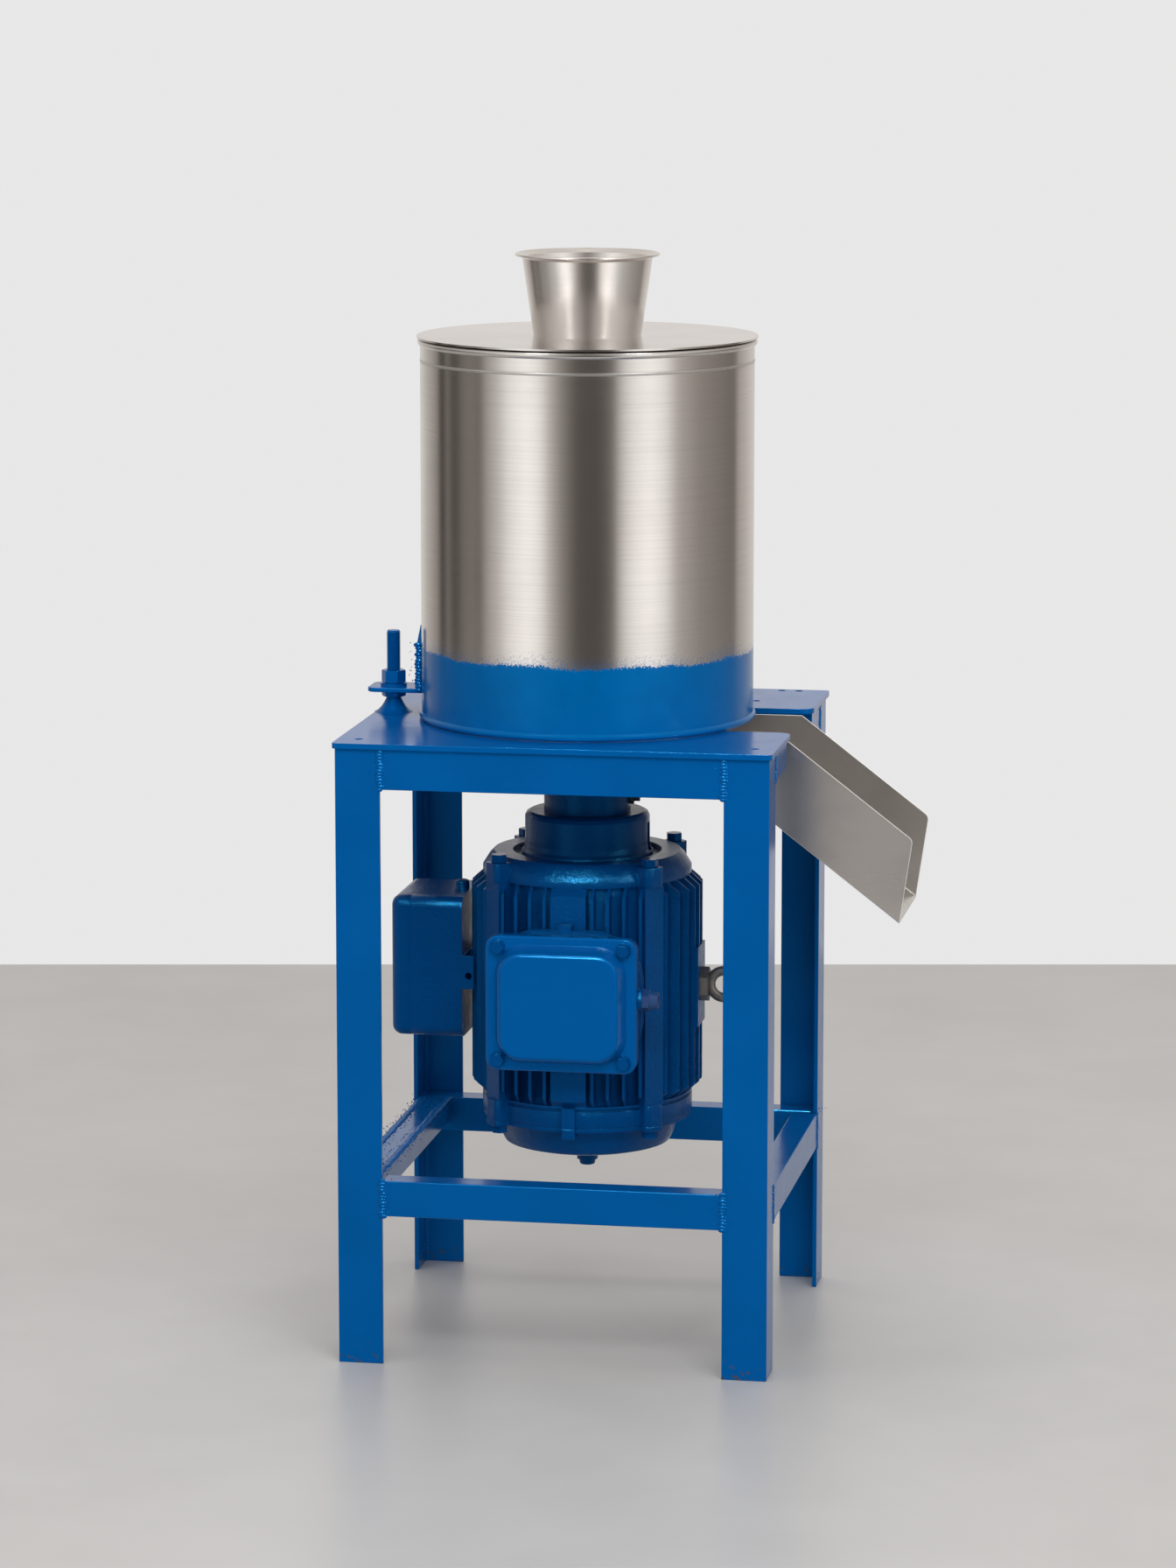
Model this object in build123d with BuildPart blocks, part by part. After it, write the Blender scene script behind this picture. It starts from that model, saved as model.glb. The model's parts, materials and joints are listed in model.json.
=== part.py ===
"""Vertical peanut grinding machine on an angle-iron stand.

A motor hangs under the top plate and turns the lower stone inside the drum. Nuts go in at the
feed cup, pass between the stones, and the paste falls through a notch in the plate into the chute.
Millimetres, +Z up, +X towards the chute. The origin is on the floor, under the shaft.
"""

import os
from math import cos, pi, radians, sin, sqrt, tan

from build123d import *

os.makedirs("parts", exist_ok=True)

# Fits between pieces
slip_fit = 0.1
running_fit = 0.05
seat_gap = 0.3

# Stand: legs of equal angle, corners outwards
frame_width = 480
frame_depth = 464
leg_length = 692
leg_size = 50
leg_wall = 5
root_radius = 5

# Stand: top rails flush with the legs, lower rails at foot-rest height
top_rail_size = 45
top_rail_wall = 5
stub_height = 31
stub_corner = 14
front_stub_end = -98
rear_stub_end = 111
lower_rail_top = 208.5
lower_rail_width = 30
lower_rail_height = 40
left_rail_height = 30
lower_rail_wall = 4

# Top plate
plate_thickness = 6
plate_side_overhang = 3
plate_front_overhang = 4
plate_rear_overhang = 10
plate_corner = 5
spare_hole_diameter = 9
spare_hole_inset = 21
spare_hole_pitch = 20

# Chute: a folded trough under the notch in the plate
chute_width = 160
chute_centre = 8
chute_wall = 2
chute_start = 112
chute_knee = 232
chute_reach = 377.5
chute_slope = 37.5
chute_wall_height = 105
chute_end_lean = 14
chute_corner = 8
notch_corner = 15
notch_margin = 6
notch_step = 165

# Drum, lid and feed cup
drum_radius = 186.4
drum_wall = 1.5
drum_height = 427
bead_radius = 4.4
swage_drop = 25
swage_radius = 2
lid_radius = 190.2
lid_thickness = 2
lid_spigot_wall = 1.5
lid_spigot_depth = 17
cup_base_radius = 60
cup_top_radius = 72.3
cup_rim_radius = 80.6
cup_height = 91.5
cup_wall = 1.2
cup_lip_height = 6
cup_roll = 1.6

# Hopper and stones inside the drum
stone_radius = 142
lower_stone_thickness = 40
upper_stone_thickness = 53
stone_gap = 0.5
stone_eye = 45
stone_base = 30
carrier_radius = 120
carrier_thickness = 12
carrier_hub_radius = 28
holder_wall = 3.5
holder_skirt = 38
funnel_rise = 100
funnel_wall = 2
locator_wall = 3
locator_height = 12
locator_clearance = 0.3
scraper_clearance = 1.5
scraper_blade_height = 44
scraper_blade_wall = 4
scraper_arm_width = 25
scraper_arm_wall = 6
scraper_inner = 60
feed_nut_radius = 20
feed_nut_height = 18
feed_finger_length = 34
feed_finger_radius = 5

# Gap adjuster at the left of the drum
stud_radius = 8
stud_distance = 36.1
stud_top = 93
stud_weld_radius = 22
stud_weld_height = 12
bracket_width = 50
bracket_wall = 5
bracket_tab_top = 30
bracket_height = 75
bracket_shoulder = 22
bracket_reach = 62.5
bracket_corner = 10
bracket_hole_radius = 9
nut_across_flats = 24
nut_bevel = 1.2
nut_height = 14.5
jam_nut_height = 7
washer_radius = 15
washer_thickness = 3

# Bearing housing and shafts
shaft_radius = 15
bearing_radius = 31
bearing_width = 16
housing_radius = 49
housing_length = 114
housing_flange_radius = 78
housing_flange_thickness = 10
housing_spigot_radius = 36
housing_waist = 27
housing_bolt_circle_radius = 64
housing_bolt_radius = 5
housing_bolt_length = 20
seal_thickness = 9
grease_nipple_rise = 14
grease_nipple_radius = 4
coupling_radius = 25
coupling_length = 26

# Motor: vertical, flange end up
hub_drop = 100
hub_height = 45
hub_radius = 70.5
hub_wall = 9
hub_edge = 6
hub_flare = 3
hub_slot_width = 16
hub_slot_height = 33
recess_inner = 74
recess_radius = 84
recess_depth = 6
shield_top_radius = 108
shield_skirt_radius = 118
shield_cone_height = 17
shield_edge = 2.5
shield_wall = 10
shield_height = 25
frame_length = 248
shield_depth = 24
band_radius = 119
band_edge = 3
stator_bore = 98
frame_core_radius = 112
fin_tip_radius = 130.5
fin_thickness = 3.4
middle_fin = 10
pad_half_width = 20
fin_offsets = (27, 44, 61, 78)
pad_distance = 126
corner_pad_width = 25
fin_end_taper = 12
ear_circle_radius = 121
ear_radius = 12
ear_rise = 22
ear_bolt_radius = 4
ear_bolt_head = 9.5
ear_bolt_head_height = 9
ear_bolt_depth = 30
cap_depth = 40
cap_flange_height = 6
cap_flange_radius = 118
cap_neck_radius = 104
cap_body_radius = 98
cap_floor_radius = 80
cap_rounding = 12
cap_wall = 4
front_lug_width = 15
front_lug_reach = 126
plug_radius = 12
plug_tip_radius = 9
plug_collar_height = 22
plug_length = 28
core_length = 130
core_rise = 58
rotor_radius = 57.5
air_gap = 0.5
winding_inner = 63
winding_outer = 92
winding_height = 36
shaft_end_rise = 20

# Terminal box on the front pad
box_drop = 145.5
box_width = 168
box_height = 150
box_corner = 56
box_inner_corner = 45
box_depth = 38
box_wall = 4
box_rib = 4
box_rib_depth = 5
box_rib_pitch = 11
box_flange = 8
box_lug_width = 14
box_lug_height = 84
box_lug_depth = 18
cover_width = 169
cover_height = 152
cover_corner = 14
cover_flange = 8
cover_edge = 1.6
panel_width = 147
panel_height = 133
panel_corner = 32
panel_rise = 20
panel_taper = 20
panel_edge = 6
cover_bolt_x = 70.5
cover_bolt_z = 63.5
cover_bolt_head = 7.5
cover_bolt_radius = 3
cover_bolt_head_height = 6
cover_washer = 8.6
cover_washer_thickness = 1.6
block_width = 64
block_height = 40
block_depth = 22
gland_rise = 4.5
gland_inset = 14
gland_radius = 8
gland_bore = 5
gland_hex = 22
gland_hex_length = 8
gland_length = 17.5
gland_boss = 4.5
gland_boss_radius = 13

# Capacitor box on the left pad
capacitor_box_near = 133
capacitor_box_seam = 193
capacitor_box_far = 215
capacitor_box_half_depth = 61
capacitor_box_drop = 211
capacitor_box_height = 161
capacitor_box_wall = 2.5
capacitor_box_corner = 12
capacitor_lid_edge = 11
nipple_x = -144
nipple_radius = 8
nipple_height = 10
nipple_edge = 3
capacitor_radius = 22
capacitor_length = 118
capacitor_spacing = 50
strap_rise = 57
strap_height = 38
strap_thickness = 2
strap_ear_length = 14
strap_ear_wall = 3
strap_hole_radius = 4
strap_hole_rise = 15
strap_boss_half_width = 20

# Lifting eye on the right pad
eye_drop = 151
eye_pad_half_width = 25
eye_pad_height = 91
eye_pad_face = 131
eye_hex = 34
eye_hex_length = 9
eye_ring_radius = 15.5
eye_ring_section = 5.5
eye_shank_radius = 8
eye_centre = 157
eye_shank_depth = 14

# Levels and places that follow from the sizes above
half_width = frame_width / 2
half_depth = frame_depth / 2
plate_top = leg_length + plate_thickness
drum_bottom = plate_top + seat_gap
drum_top = drum_bottom + drum_height
lid_bottom = drum_top + seat_gap
lid_top = lid_bottom + lid_thickness
drum_inner = drum_radius - drum_wall
carrier_bottom = plate_top + stone_base - carrier_thickness
lower_stone_bottom = plate_top + stone_base
stud_x = -drum_radius - stud_distance
lower_stone_top = lower_stone_bottom + lower_stone_thickness
upper_stone_bottom = lower_stone_top + stone_gap
upper_stone_top = upper_stone_bottom + upper_stone_thickness
holder_top = upper_stone_top + holder_wall
locator_radius = drum_inner - locator_clearance
scraper_reach = locator_radius - locator_wall - 2 * scraper_clearance
chute_front = chute_centre - chute_width / 2
chute_rear = chute_centre + chute_width / 2
chute_fall = tan(radians(chute_slope))
tab_top = plate_top + bracket_tab_top
washer_bottom = tab_top
nut_bottom = tab_top + washer_thickness + seat_gap
tab_bottom = tab_top - bracket_wall
jam_nut_top = tab_bottom - seat_gap
housing_top = leg_length
housing_bottom = leg_length - housing_length
hub_top = leg_length - hub_drop
motor_top = hub_top - hub_height
upper_joint = motor_top - shield_height
lower_joint = upper_joint - frame_length
shield_base = lower_joint - shield_depth
cap_bottom = shield_base - cap_depth
core_bottom = lower_joint + core_rise
motor_shaft_bottom = cap_bottom + shaft_end_rise
grease_nipple_height = hub_top + grease_nipple_rise
box_centre = motor_top - box_drop
gland_z = box_centre + gland_rise
capacitor_box_bottom = motor_top - capacitor_box_drop
capacitor_box_top = capacitor_box_bottom + capacitor_box_height
strap_bottom = capacitor_box_bottom + strap_rise
eye_z = motor_top - eye_drop
spare_holes = [
    (spare_hole_inset - half_width, 1.4 * spare_hole_inset - half_depth),
    (spare_hole_inset - half_width, -chute_width / 3),
    (half_width - spare_hole_inset, 1.7 * spare_hole_inset - half_depth),
    (half_width - 1.5 * spare_hole_inset, half_depth),
    (half_width - 1.5 * spare_hole_inset - spare_hole_pitch, half_depth),
    (half_width - 3.3 * spare_hole_inset, half_depth - 4 * spare_hole_inset),
]
coupling_bottom = housing_bottom - 2 - coupling_length
shaft_meeting = coupling_bottom + coupling_length / 2
box_face = pad_distance + box_depth


def save(piece, name):
    """Label a finished piece and write it to its own file."""
    piece.part.label = name
    export_step(piece.part, f"parts/{name}.step")


def turned(corners, axis_x=0):
    """A turned piece: (radius, height) corners swept round an upright axis at axis_x."""
    with BuildPart() as piece:
        with BuildSketch(Plane((axis_x, 0, 0), x_dir=(1, 0, 0), z_dir=(0, -1, 0))):
            with BuildLine():
                Polyline(*corners, close=True)
            make_face()
        revolve(axis=Axis((axis_x, 0, 0), (0, 0, 1)))
    return piece


def ring(inner, outer, bottom, top, axis_x=0):
    """A plain ring about an upright axis."""
    return turned([(inner, bottom), (outer, bottom), (outer, top), (inner, top)], axis_x)


def facing_front(distance, height):
    """A plane in front of the axis that looks towards -Y, with its own y along +Z."""
    return Plane((0, -distance, height), x_dir=(1, 0, 0), z_dir=(0, -1, 0))


def angle_bar(plane, width, height, wall, length):
    """Rolled angle: its outer corner runs from the plane's origin along the plane's normal."""
    with BuildPart() as bar:
        with BuildSketch(plane) as section:
            with BuildLine():
                Polyline(
                    (0, 0),
                    (width, 0),
                    (width, wall),
                    (wall, wall),
                    (wall, height),
                    (0, height),
                    close=True,
                )
            make_face()
            fillet(section.vertices().sort_by_distance((wall, wall))[0], root_radius)
        extrude(amount=length)
    return bar


def rail(corner, inward, width, height, wall, length):
    """Angle laid flat: one flange level along inward, the other hanging from the corner line."""
    run = Vector(0, 0, 1).cross(Vector(inward))
    return angle_bar(Plane(corner, x_dir=inward, z_dir=run), width, height, wall, length)


def hexagon_prism(plane, across_flats, height, bore=0):
    """A nut or bolt-head form on a plane, with an optional bore."""
    with BuildPart() as prism:
        with BuildSketch(plane):
            RegularPolygon(across_flats / 2, 6, major_radius=False)
            if bore:
                Circle(bore, mode=Mode.SUBTRACT)
        extrude(amount=height)
        if bore:
            axis = Axis(plane.origin, plane.z_dir)
            with BuildSketch(Plane(plane.origin, x_dir=plane.x_dir, z_dir=-plane.y_dir)):
                with BuildLine():
                    Polyline(
                        (0, 0),
                        (across_flats / 2, 0),
                        (across_flats / 2 + 2 * nut_bevel, nut_bevel),
                        (across_flats / 2 + 2 * nut_bevel, height - nut_bevel),
                        (across_flats / 2, height),
                        (0, height),
                        close=True,
                    )
                make_face()
            revolve(axis=axis, mode=Mode.INTERSECT)
    return prism


# Legs
for name, x_side, y_side, first_flange in [
    ("leg_front_left", -1, -1, (1, 0, 0)),
    ("leg_front_right", 1, -1, (0, 1, 0)),
    ("leg_rear_right", 1, 1, (-1, 0, 0)),
    ("leg_rear_left", -1, 1, (0, -1, 0)),
]:
    foot = Plane((x_side * half_width, y_side * half_depth, 0), x_dir=first_flange, z_dir=(0, 0, 1))
    save(angle_bar(foot, leg_size, leg_size, leg_wall, leg_length), name)

# Top rails between the legs, flush with their faces
front_span = frame_width - 2 * leg_size
side_span = frame_depth - 2 * leg_size
top_rail = (top_rail_size, top_rail_size, top_rail_wall)
top_rail_front = rail((front_span / 2, -half_depth, leg_length), (0, 1, 0), *top_rail, front_span)
save(top_rail_front, "top_rail_front")
top_rail_rear = rail((-front_span / 2, half_depth, leg_length), (0, -1, 0), *top_rail, front_span)
save(top_rail_rear, "top_rail_rear")
top_rail_left = rail((-half_width, -side_span / 2, leg_length), (1, 0, 0), *top_rail, side_span)
save(top_rail_left, "top_rail_left")

# The right top rail is burnt out for the chute, which leaves a rounded stub at each leg
front_stub = rail(
    (half_width, front_stub_end, leg_length),
    (-1, 0, 0),
    top_rail_size,
    stub_height,
    top_rail_wall,
    front_stub_end + side_span / 2,
)
rear_stub = rail(
    (half_width, side_span / 2, leg_length),
    (-1, 0, 0),
    top_rail_size,
    stub_height,
    top_rail_wall,
    side_span / 2 - rear_stub_end,
)
with BuildPart() as top_rail_right:
    add(front_stub.part)
    add(rear_stub.part)
    free_ends = [
        edge
        for edge in top_rail_right.edges().filter_by(Axis.X)
        if abs(edge.center().Z - (leg_length - stub_height)) < 1
        and abs(edge.center().Y) < side_span / 2 - 1
    ]
    fillet(free_ends, stub_corner)
save(top_rail_right, "top_rail_right")

# Lower rails: front and right flush with the legs, rear and left lapped inside them
lower_rail = (lower_rail_width, lower_rail_height, lower_rail_wall)
inner_x = half_width - leg_wall
inner_y = half_depth - leg_wall
lower_rail_front = rail((front_span / 2, -half_depth, lower_rail_top), (0, 1, 0), *lower_rail, front_span)
save(lower_rail_front, "lower_rail_front")
lower_rail_right = rail((half_width, side_span / 2, lower_rail_top), (-1, 0, 0), *lower_rail, side_span)
save(lower_rail_right, "lower_rail_right")
rear_rail_front = inner_y - root_radius - lower_rail_width
lower_rail_rear = rail((inner_x, rear_rail_front, lower_rail_top), (0, 1, 0), *lower_rail, 2 * inner_x)
save(lower_rail_rear, "lower_rail_rear")
lower_rail_left = rail(
    (lower_rail_width + root_radius - inner_x, rear_rail_front, lower_rail_top),
    (-1, 0, 0),
    lower_rail_width,
    left_rail_height,
    lower_rail_wall,
    rear_rail_front + inner_y,
)
save(lower_rail_left, "lower_rail_left")

# Top plate, with the shaft hole and the notch that lets the paste fall into the chute
plate_x = half_width + plate_side_overhang
plate_front = half_depth + plate_front_overhang
plate_rear = half_depth + plate_rear_overhang
notch_inner = chute_start + chute_wall
notch_width = chute_width + 2 * notch_margin
with BuildPart() as top_plate:
    with BuildSketch(Plane.XY.offset(leg_length)) as outline:
        with Locations((0, (plate_rear - plate_front) / 2)):
            Rectangle(2 * plate_x, plate_front + plate_rear)
        fillet(outline.vertices(), plate_corner)
        with Locations(((plate_x + notch_step) / 2, chute_centre)):
            Rectangle(plate_x - notch_step, notch_width, mode=Mode.SUBTRACT)
        mouth = outline.vertices().filter_by_position(
            Axis.Y, chute_front - 2 * notch_margin, chute_rear + 2 * notch_margin
        )
        fillet(mouth.group_by(Axis.X)[-1], notch_corner)
        with Locations(((notch_step + notch_inner) / 2, chute_centre)):
            Rectangle(notch_step - notch_inner, chute_width - 2 * chute_wall, mode=Mode.SUBTRACT)
        Circle(housing_spigot_radius + slip_fit, mode=Mode.SUBTRACT)
        with Locations(*spare_holes):
            Circle(spare_hole_diameter / 2, mode=Mode.SUBTRACT)
        with PolarLocations(housing_bolt_circle_radius, 4, start_angle=45):
            Circle(housing_bolt_radius + slip_fit, mode=Mode.SUBTRACT)
    extrude(amount=plate_thickness)
save(top_plate, "top_plate")

# Chute: side view swept across, then hollowed from above
floor_drop = chute_wall / cos(radians(chute_slope))
lip_top = leg_length - (chute_reach - chute_knee) * chute_fall
end_x = chute_reach - chute_end_lean
end_z = lip_top - chute_wall_height + chute_end_lean * chute_fall
start_z = end_z + (end_x - chute_start) * chute_fall
with BuildPart() as chute:
    side = Plane((0, chute_rear, 0), x_dir=(1, 0, 0), z_dir=(0, -1, 0))
    with BuildSketch(side) as side_view:
        with BuildLine():
            Polyline(
                (chute_start, start_z),
                (end_x, end_z),
                (chute_reach, lip_top),
                (chute_knee, leg_length),
                (chute_start, leg_length),
                close=True,
            )
        make_face()
        fillet(side_view.vertices().sort_by_distance((chute_reach, lip_top))[0], chute_corner)
    extrude(amount=chute_width)
    hollow = Plane((0, chute_rear - chute_wall, 0), x_dir=(1, 0, 0), z_dir=(0, -1, 0))
    with BuildSketch(hollow):
        with BuildLine():
            past_end = chute_reach + chute_wall_height
            inner_x0 = chute_start + chute_wall
            Polyline(
                (inner_x0, start_z - chute_wall * chute_fall + floor_drop),
                (past_end, start_z - (past_end - chute_start) * chute_fall + floor_drop),
                (past_end, leg_length + chute_wall),
                (inner_x0, leg_length + chute_wall),
                close=True,
            )
        make_face()
    extrude(amount=chute_width - 2 * chute_wall, mode=Mode.SUBTRACT)
save(chute, "chute")

# Drum: rolled sheet with a bead round each end and a swage line under the lid
with BuildPart() as drum_shell:
    with BuildSketch(Plane.XZ):
        with Locations((drum_radius - drum_wall / 2, (drum_bottom + drum_top) / 2)):
            Rectangle(drum_wall, drum_height)
        with Locations(
            (drum_radius - drum_wall, drum_bottom + bead_radius),
            (drum_radius - drum_wall, drum_top - bead_radius),
        ):
            Circle(bead_radius)
        with Locations((drum_radius - drum_wall, drum_top - swage_drop)):
            Circle(swage_radius)
        with Locations((drum_inner / 2, (drum_bottom + drum_top) / 2)):
            Rectangle(drum_inner, drum_height, mode=Mode.SUBTRACT)
    revolve(axis=Axis.Z)
save(drum_shell, "drum_shell")

# Low ring welded to the plate that keeps the drum central, open over the notch
with BuildPart() as drum_locator:
    with BuildSketch(Plane.XY.offset(plate_top)):
        Circle(locator_radius)
        Circle(locator_radius - locator_wall, mode=Mode.SUBTRACT)
        with Locations((locator_radius, chute_centre)):
            Rectangle(locator_radius, chute_width - 2 * chute_wall, mode=Mode.SUBTRACT)
    extrude(amount=locator_height)
save(drum_locator, "drum_locator")

# Lid and feed cup
with BuildPart() as drum_lid:
    spigot_radius = drum_inner - 2 * seat_gap
    with BuildSketch(Plane.XY.offset(lid_bottom)):
        Circle(lid_radius)
        Circle(cup_base_radius - cup_wall, mode=Mode.SUBTRACT)
    extrude(amount=lid_thickness)
    with BuildSketch(Plane.XY.offset(lid_bottom)):
        Circle(spigot_radius)
        Circle(spigot_radius - lid_spigot_wall, mode=Mode.SUBTRACT)
    extrude(amount=-lid_spigot_depth)
save(drum_lid, "drum_lid")

with BuildPart() as feed_cup:
    lip_z = lid_top + cup_height - cup_lip_height
    with BuildSketch(Plane.XZ):
        with BuildLine():
            Polyline(
                (cup_base_radius - cup_wall, lid_top),
                (cup_base_radius, lid_top),
                (cup_top_radius, lip_z),
                (cup_rim_radius - cup_roll, lid_top + cup_height - cup_wall),
                (cup_rim_radius - cup_roll, lid_top + cup_height),
                (cup_top_radius - cup_wall, lip_z + cup_wall),
                close=True,
            )
        make_face()
        with Locations((cup_rim_radius - cup_roll, lid_top + cup_height - cup_roll)):
            Circle(cup_roll)
    revolve(axis=Axis.Z)
save(feed_cup, "feed_cup")

# Hopper floor: a cone from the drum wall down to the eye of the upper stone
funnel_top = holder_top + funnel_rise
funnel_lift = funnel_wall * sqrt(1 + (funnel_rise / (drum_inner - stone_eye)) ** 2)
hopper_funnel = turned(
    [
        (stone_eye, holder_top),
        (drum_inner, funnel_top),
        (drum_inner, funnel_top + funnel_lift),
        (stone_eye, holder_top + funnel_lift),
    ]
)
save(hopper_funnel, "hopper_funnel")

# Inverted dish that grips the upper stone and hangs from the funnel
holder_inner = stone_radius + slip_fit
holder_outer = holder_inner + holder_wall
stone_holder = turned(
    [
        (stone_eye, upper_stone_top),
        (holder_inner, upper_stone_top),
        (holder_inner, upper_stone_top - holder_skirt),
        (holder_outer, upper_stone_top - holder_skirt),
        (holder_outer, holder_top),
        (stone_eye, holder_top),
    ]
)
save(stone_holder, "stone_holder")

# Grinding stones: the upper one is dished round its eye so that nuts can enter
with BuildPart() as upper_stone:
    mouth_radius = stone_eye + upper_stone_thickness / 2
    with BuildSketch(Plane.XZ):
        with BuildLine():
            Polyline(
                (mouth_radius, upper_stone_bottom),
                (stone_radius, upper_stone_bottom),
                (stone_radius, upper_stone_top),
                (stone_eye, upper_stone_top),
                (stone_eye, upper_stone_bottom + upper_stone_thickness / 3),
                close=True,
            )
        make_face()
    revolve(axis=Axis.Z)
save(upper_stone, "upper_stone")

lower_stone = ring(shaft_radius + slip_fit, stone_radius, lower_stone_bottom, lower_stone_top)
save(lower_stone, "lower_stone")

# Carrier disc with its hub, keyed to the shaft under the lower stone
carrier_hub_bottom = plate_top + 4 * scraper_clearance
stone_carrier = turned(
    [
        (shaft_radius + slip_fit, carrier_hub_bottom),
        (carrier_hub_radius, carrier_hub_bottom),
        (carrier_hub_radius, carrier_bottom),
        (carrier_radius, carrier_bottom),
        (carrier_radius, lower_stone_bottom),
        (shaft_radius + slip_fit, lower_stone_bottom),
    ]
)
save(stone_carrier, "stone_carrier")

# Scraper: two arms under the carrier, each with an upright blade that sweeps the plate
with BuildPart() as scraper:
    arm_bottom = carrier_bottom - scraper_arm_wall
    blade_bottom = plate_top + scraper_clearance
    blade_inner = stone_radius + 2 * scraper_clearance
    for side_sign in (-1, 1):
        with BuildSketch(Plane.XY.offset(arm_bottom)):
            with Locations((0, side_sign * (scraper_inner + scraper_reach) / 2)):
                Rectangle(scraper_arm_width, scraper_reach - scraper_inner)
        extrude(amount=scraper_arm_wall)
        with BuildSketch(Plane.XY.offset(blade_bottom)):
            blade_middle = (blade_inner + scraper_reach) / 2
            with Locations((side_sign * scraper_arm_width / 2, side_sign * blade_middle)):
                Rectangle(scraper_blade_wall, scraper_reach - blade_inner)
        extrude(amount=scraper_blade_height)
save(scraper, "scraper")

# Feed nut: clamps the lower stone, and its fingers stir the nuts into the eye
with BuildPart() as feed_nut:
    nut_level = lower_stone_top
    with BuildSketch(Plane.XY.offset(nut_level)):
        RegularPolygon(feed_nut_radius, 6)
        Circle(shaft_radius + slip_fit, mode=Mode.SUBTRACT)
    extrude(amount=feed_nut_height)
    with BuildSketch(Plane.XY.offset(nut_level + feed_nut_height)):
        Circle(feed_nut_radius * 0.8)
    extrude(amount=feed_finger_radius)
    finger_level = nut_level + feed_nut_height + feed_finger_radius / 2
    with BuildSketch(Plane((-feed_finger_length, 0, finger_level), z_dir=(1, 0, 0))):
        Circle(feed_finger_radius / 2)
    extrude(amount=2 * feed_finger_length)
save(feed_nut, "feed_nut")

# Gap adjuster: stud welded to the plate, bracket welded to the drum, two nuts between them
adjuster_stud = turned(
    [
        (0, plate_top),
        (stud_weld_radius, plate_top),
        (stud_weld_radius - 3, plate_top + 3),
        (stud_radius + 2, plate_top + stud_weld_height),
        (stud_radius, plate_top + stud_weld_height),
        (stud_radius, plate_top + stud_top - 1.5),
        (stud_radius - 1.5, plate_top + stud_top),
        (0, plate_top + stud_top),
    ],
    stud_x,
)
save(adjuster_stud, "adjuster_stud")

with BuildPart() as adjuster_bracket:
    tab_end = -drum_radius - bracket_reach
    leg_face = -drum_radius - bracket_wall
    with BuildSketch(Plane.XY.offset(tab_bottom)) as tab:
        with Locations(((tab_end + leg_face) / 2 + bracket_wall, 0)):
            Rectangle(leg_face - tab_end + 2 * bracket_wall, bracket_width)
        fillet(tab.vertices().group_by(Axis.X)[0], bracket_corner)
        with Locations((stud_x, 0)):
            Circle(bracket_hole_radius, mode=Mode.SUBTRACT)
    extrude(amount=bracket_wall)
    with BuildSketch(Plane.YZ.offset(leg_face)):
        with BuildLine():
            Polyline(
                (-bracket_width / 2, tab_bottom),
                (bracket_width / 2, tab_bottom),
                (bracket_width / 2, tab_bottom + bracket_height - bracket_shoulder),
                (0, tab_bottom + bracket_height),
                (-bracket_width / 2, tab_bottom + bracket_height - bracket_shoulder),
                close=True,
            )
        make_face()
    extrude(amount=2 * bracket_wall)
    with BuildSketch(Plane.XY.offset(tab_bottom)):
        Circle(drum_radius)
    extrude(amount=bracket_height, mode=Mode.SUBTRACT)
save(adjuster_bracket, "adjuster_bracket")

washer_bore = stud_radius + 2 * seat_gap
adjuster_washer = ring(washer_bore, washer_radius, washer_bottom, washer_bottom + washer_thickness, stud_x)
save(adjuster_washer, "adjuster_washer")

nut_bore = stud_radius + running_fit
adjusting_nut = hexagon_prism(Plane((stud_x, 0, nut_bottom)), nut_across_flats, nut_height, nut_bore)
save(adjusting_nut, "adjusting_nut")
jam_nut_seat = Plane((stud_x, 0, jam_nut_top - jam_nut_height))
jam_nut = hexagon_prism(jam_nut_seat, nut_across_flats, jam_nut_height, nut_bore)
save(jam_nut, "jam_nut")

# Bearing housing hung from the plate, with a bearing at each end and a seal on top
lower_bearing_top = housing_bottom + 4 + bearing_width
seal_bottom = plate_top - 2 - seal_thickness
upper_bearing_bottom = seal_bottom - bearing_width
nipple_hole_radius = grease_nipple_radius - 1
with BuildPart() as bearing_housing:
    with BuildSketch(Plane.XZ):
        with BuildLine():
            Polyline(
                (bearing_radius, housing_bottom),
                (housing_radius - 4, housing_bottom),
                (housing_radius - 4, hub_top),
                (housing_radius, hub_top),
                (housing_radius, housing_top - housing_flange_thickness),
                (housing_flange_radius, housing_top - housing_flange_thickness),
                (housing_flange_radius, housing_top),
                (housing_spigot_radius, housing_top),
                (housing_spigot_radius, plate_top - 1),
                (bearing_radius, plate_top - 1),
                (bearing_radius, upper_bearing_bottom),
                (housing_waist, upper_bearing_bottom),
                (housing_waist, lower_bearing_top),
                (bearing_radius, lower_bearing_top),
                close=True,
            )
        make_face()
    revolve(axis=Axis.Z)
    with BuildSketch(Plane.XY.offset(housing_top)):
        with PolarLocations(housing_bolt_circle_radius, 4, start_angle=45):
            Circle(housing_bolt_radius + slip_fit)
    extrude(amount=-housing_flange_thickness, mode=Mode.SUBTRACT)
    with BuildSketch(Plane((housing_waist - 1, 0, grease_nipple_height), z_dir=(1, 0, 0))):
        Circle(nipple_hole_radius)
    extrude(amount=housing_radius, mode=Mode.SUBTRACT)
save(bearing_housing, "bearing_housing")

lower_bearing = ring(
    shaft_radius + running_fit, bearing_radius, lower_bearing_top - bearing_width, lower_bearing_top
)
upper_bearing = ring(shaft_radius + running_fit, bearing_radius, upper_bearing_bottom, seal_bottom)
with BuildPart() as housing_bearings:
    add(lower_bearing.part)
    add(upper_bearing.part)
save(housing_bearings, "housing_bearings")

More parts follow.
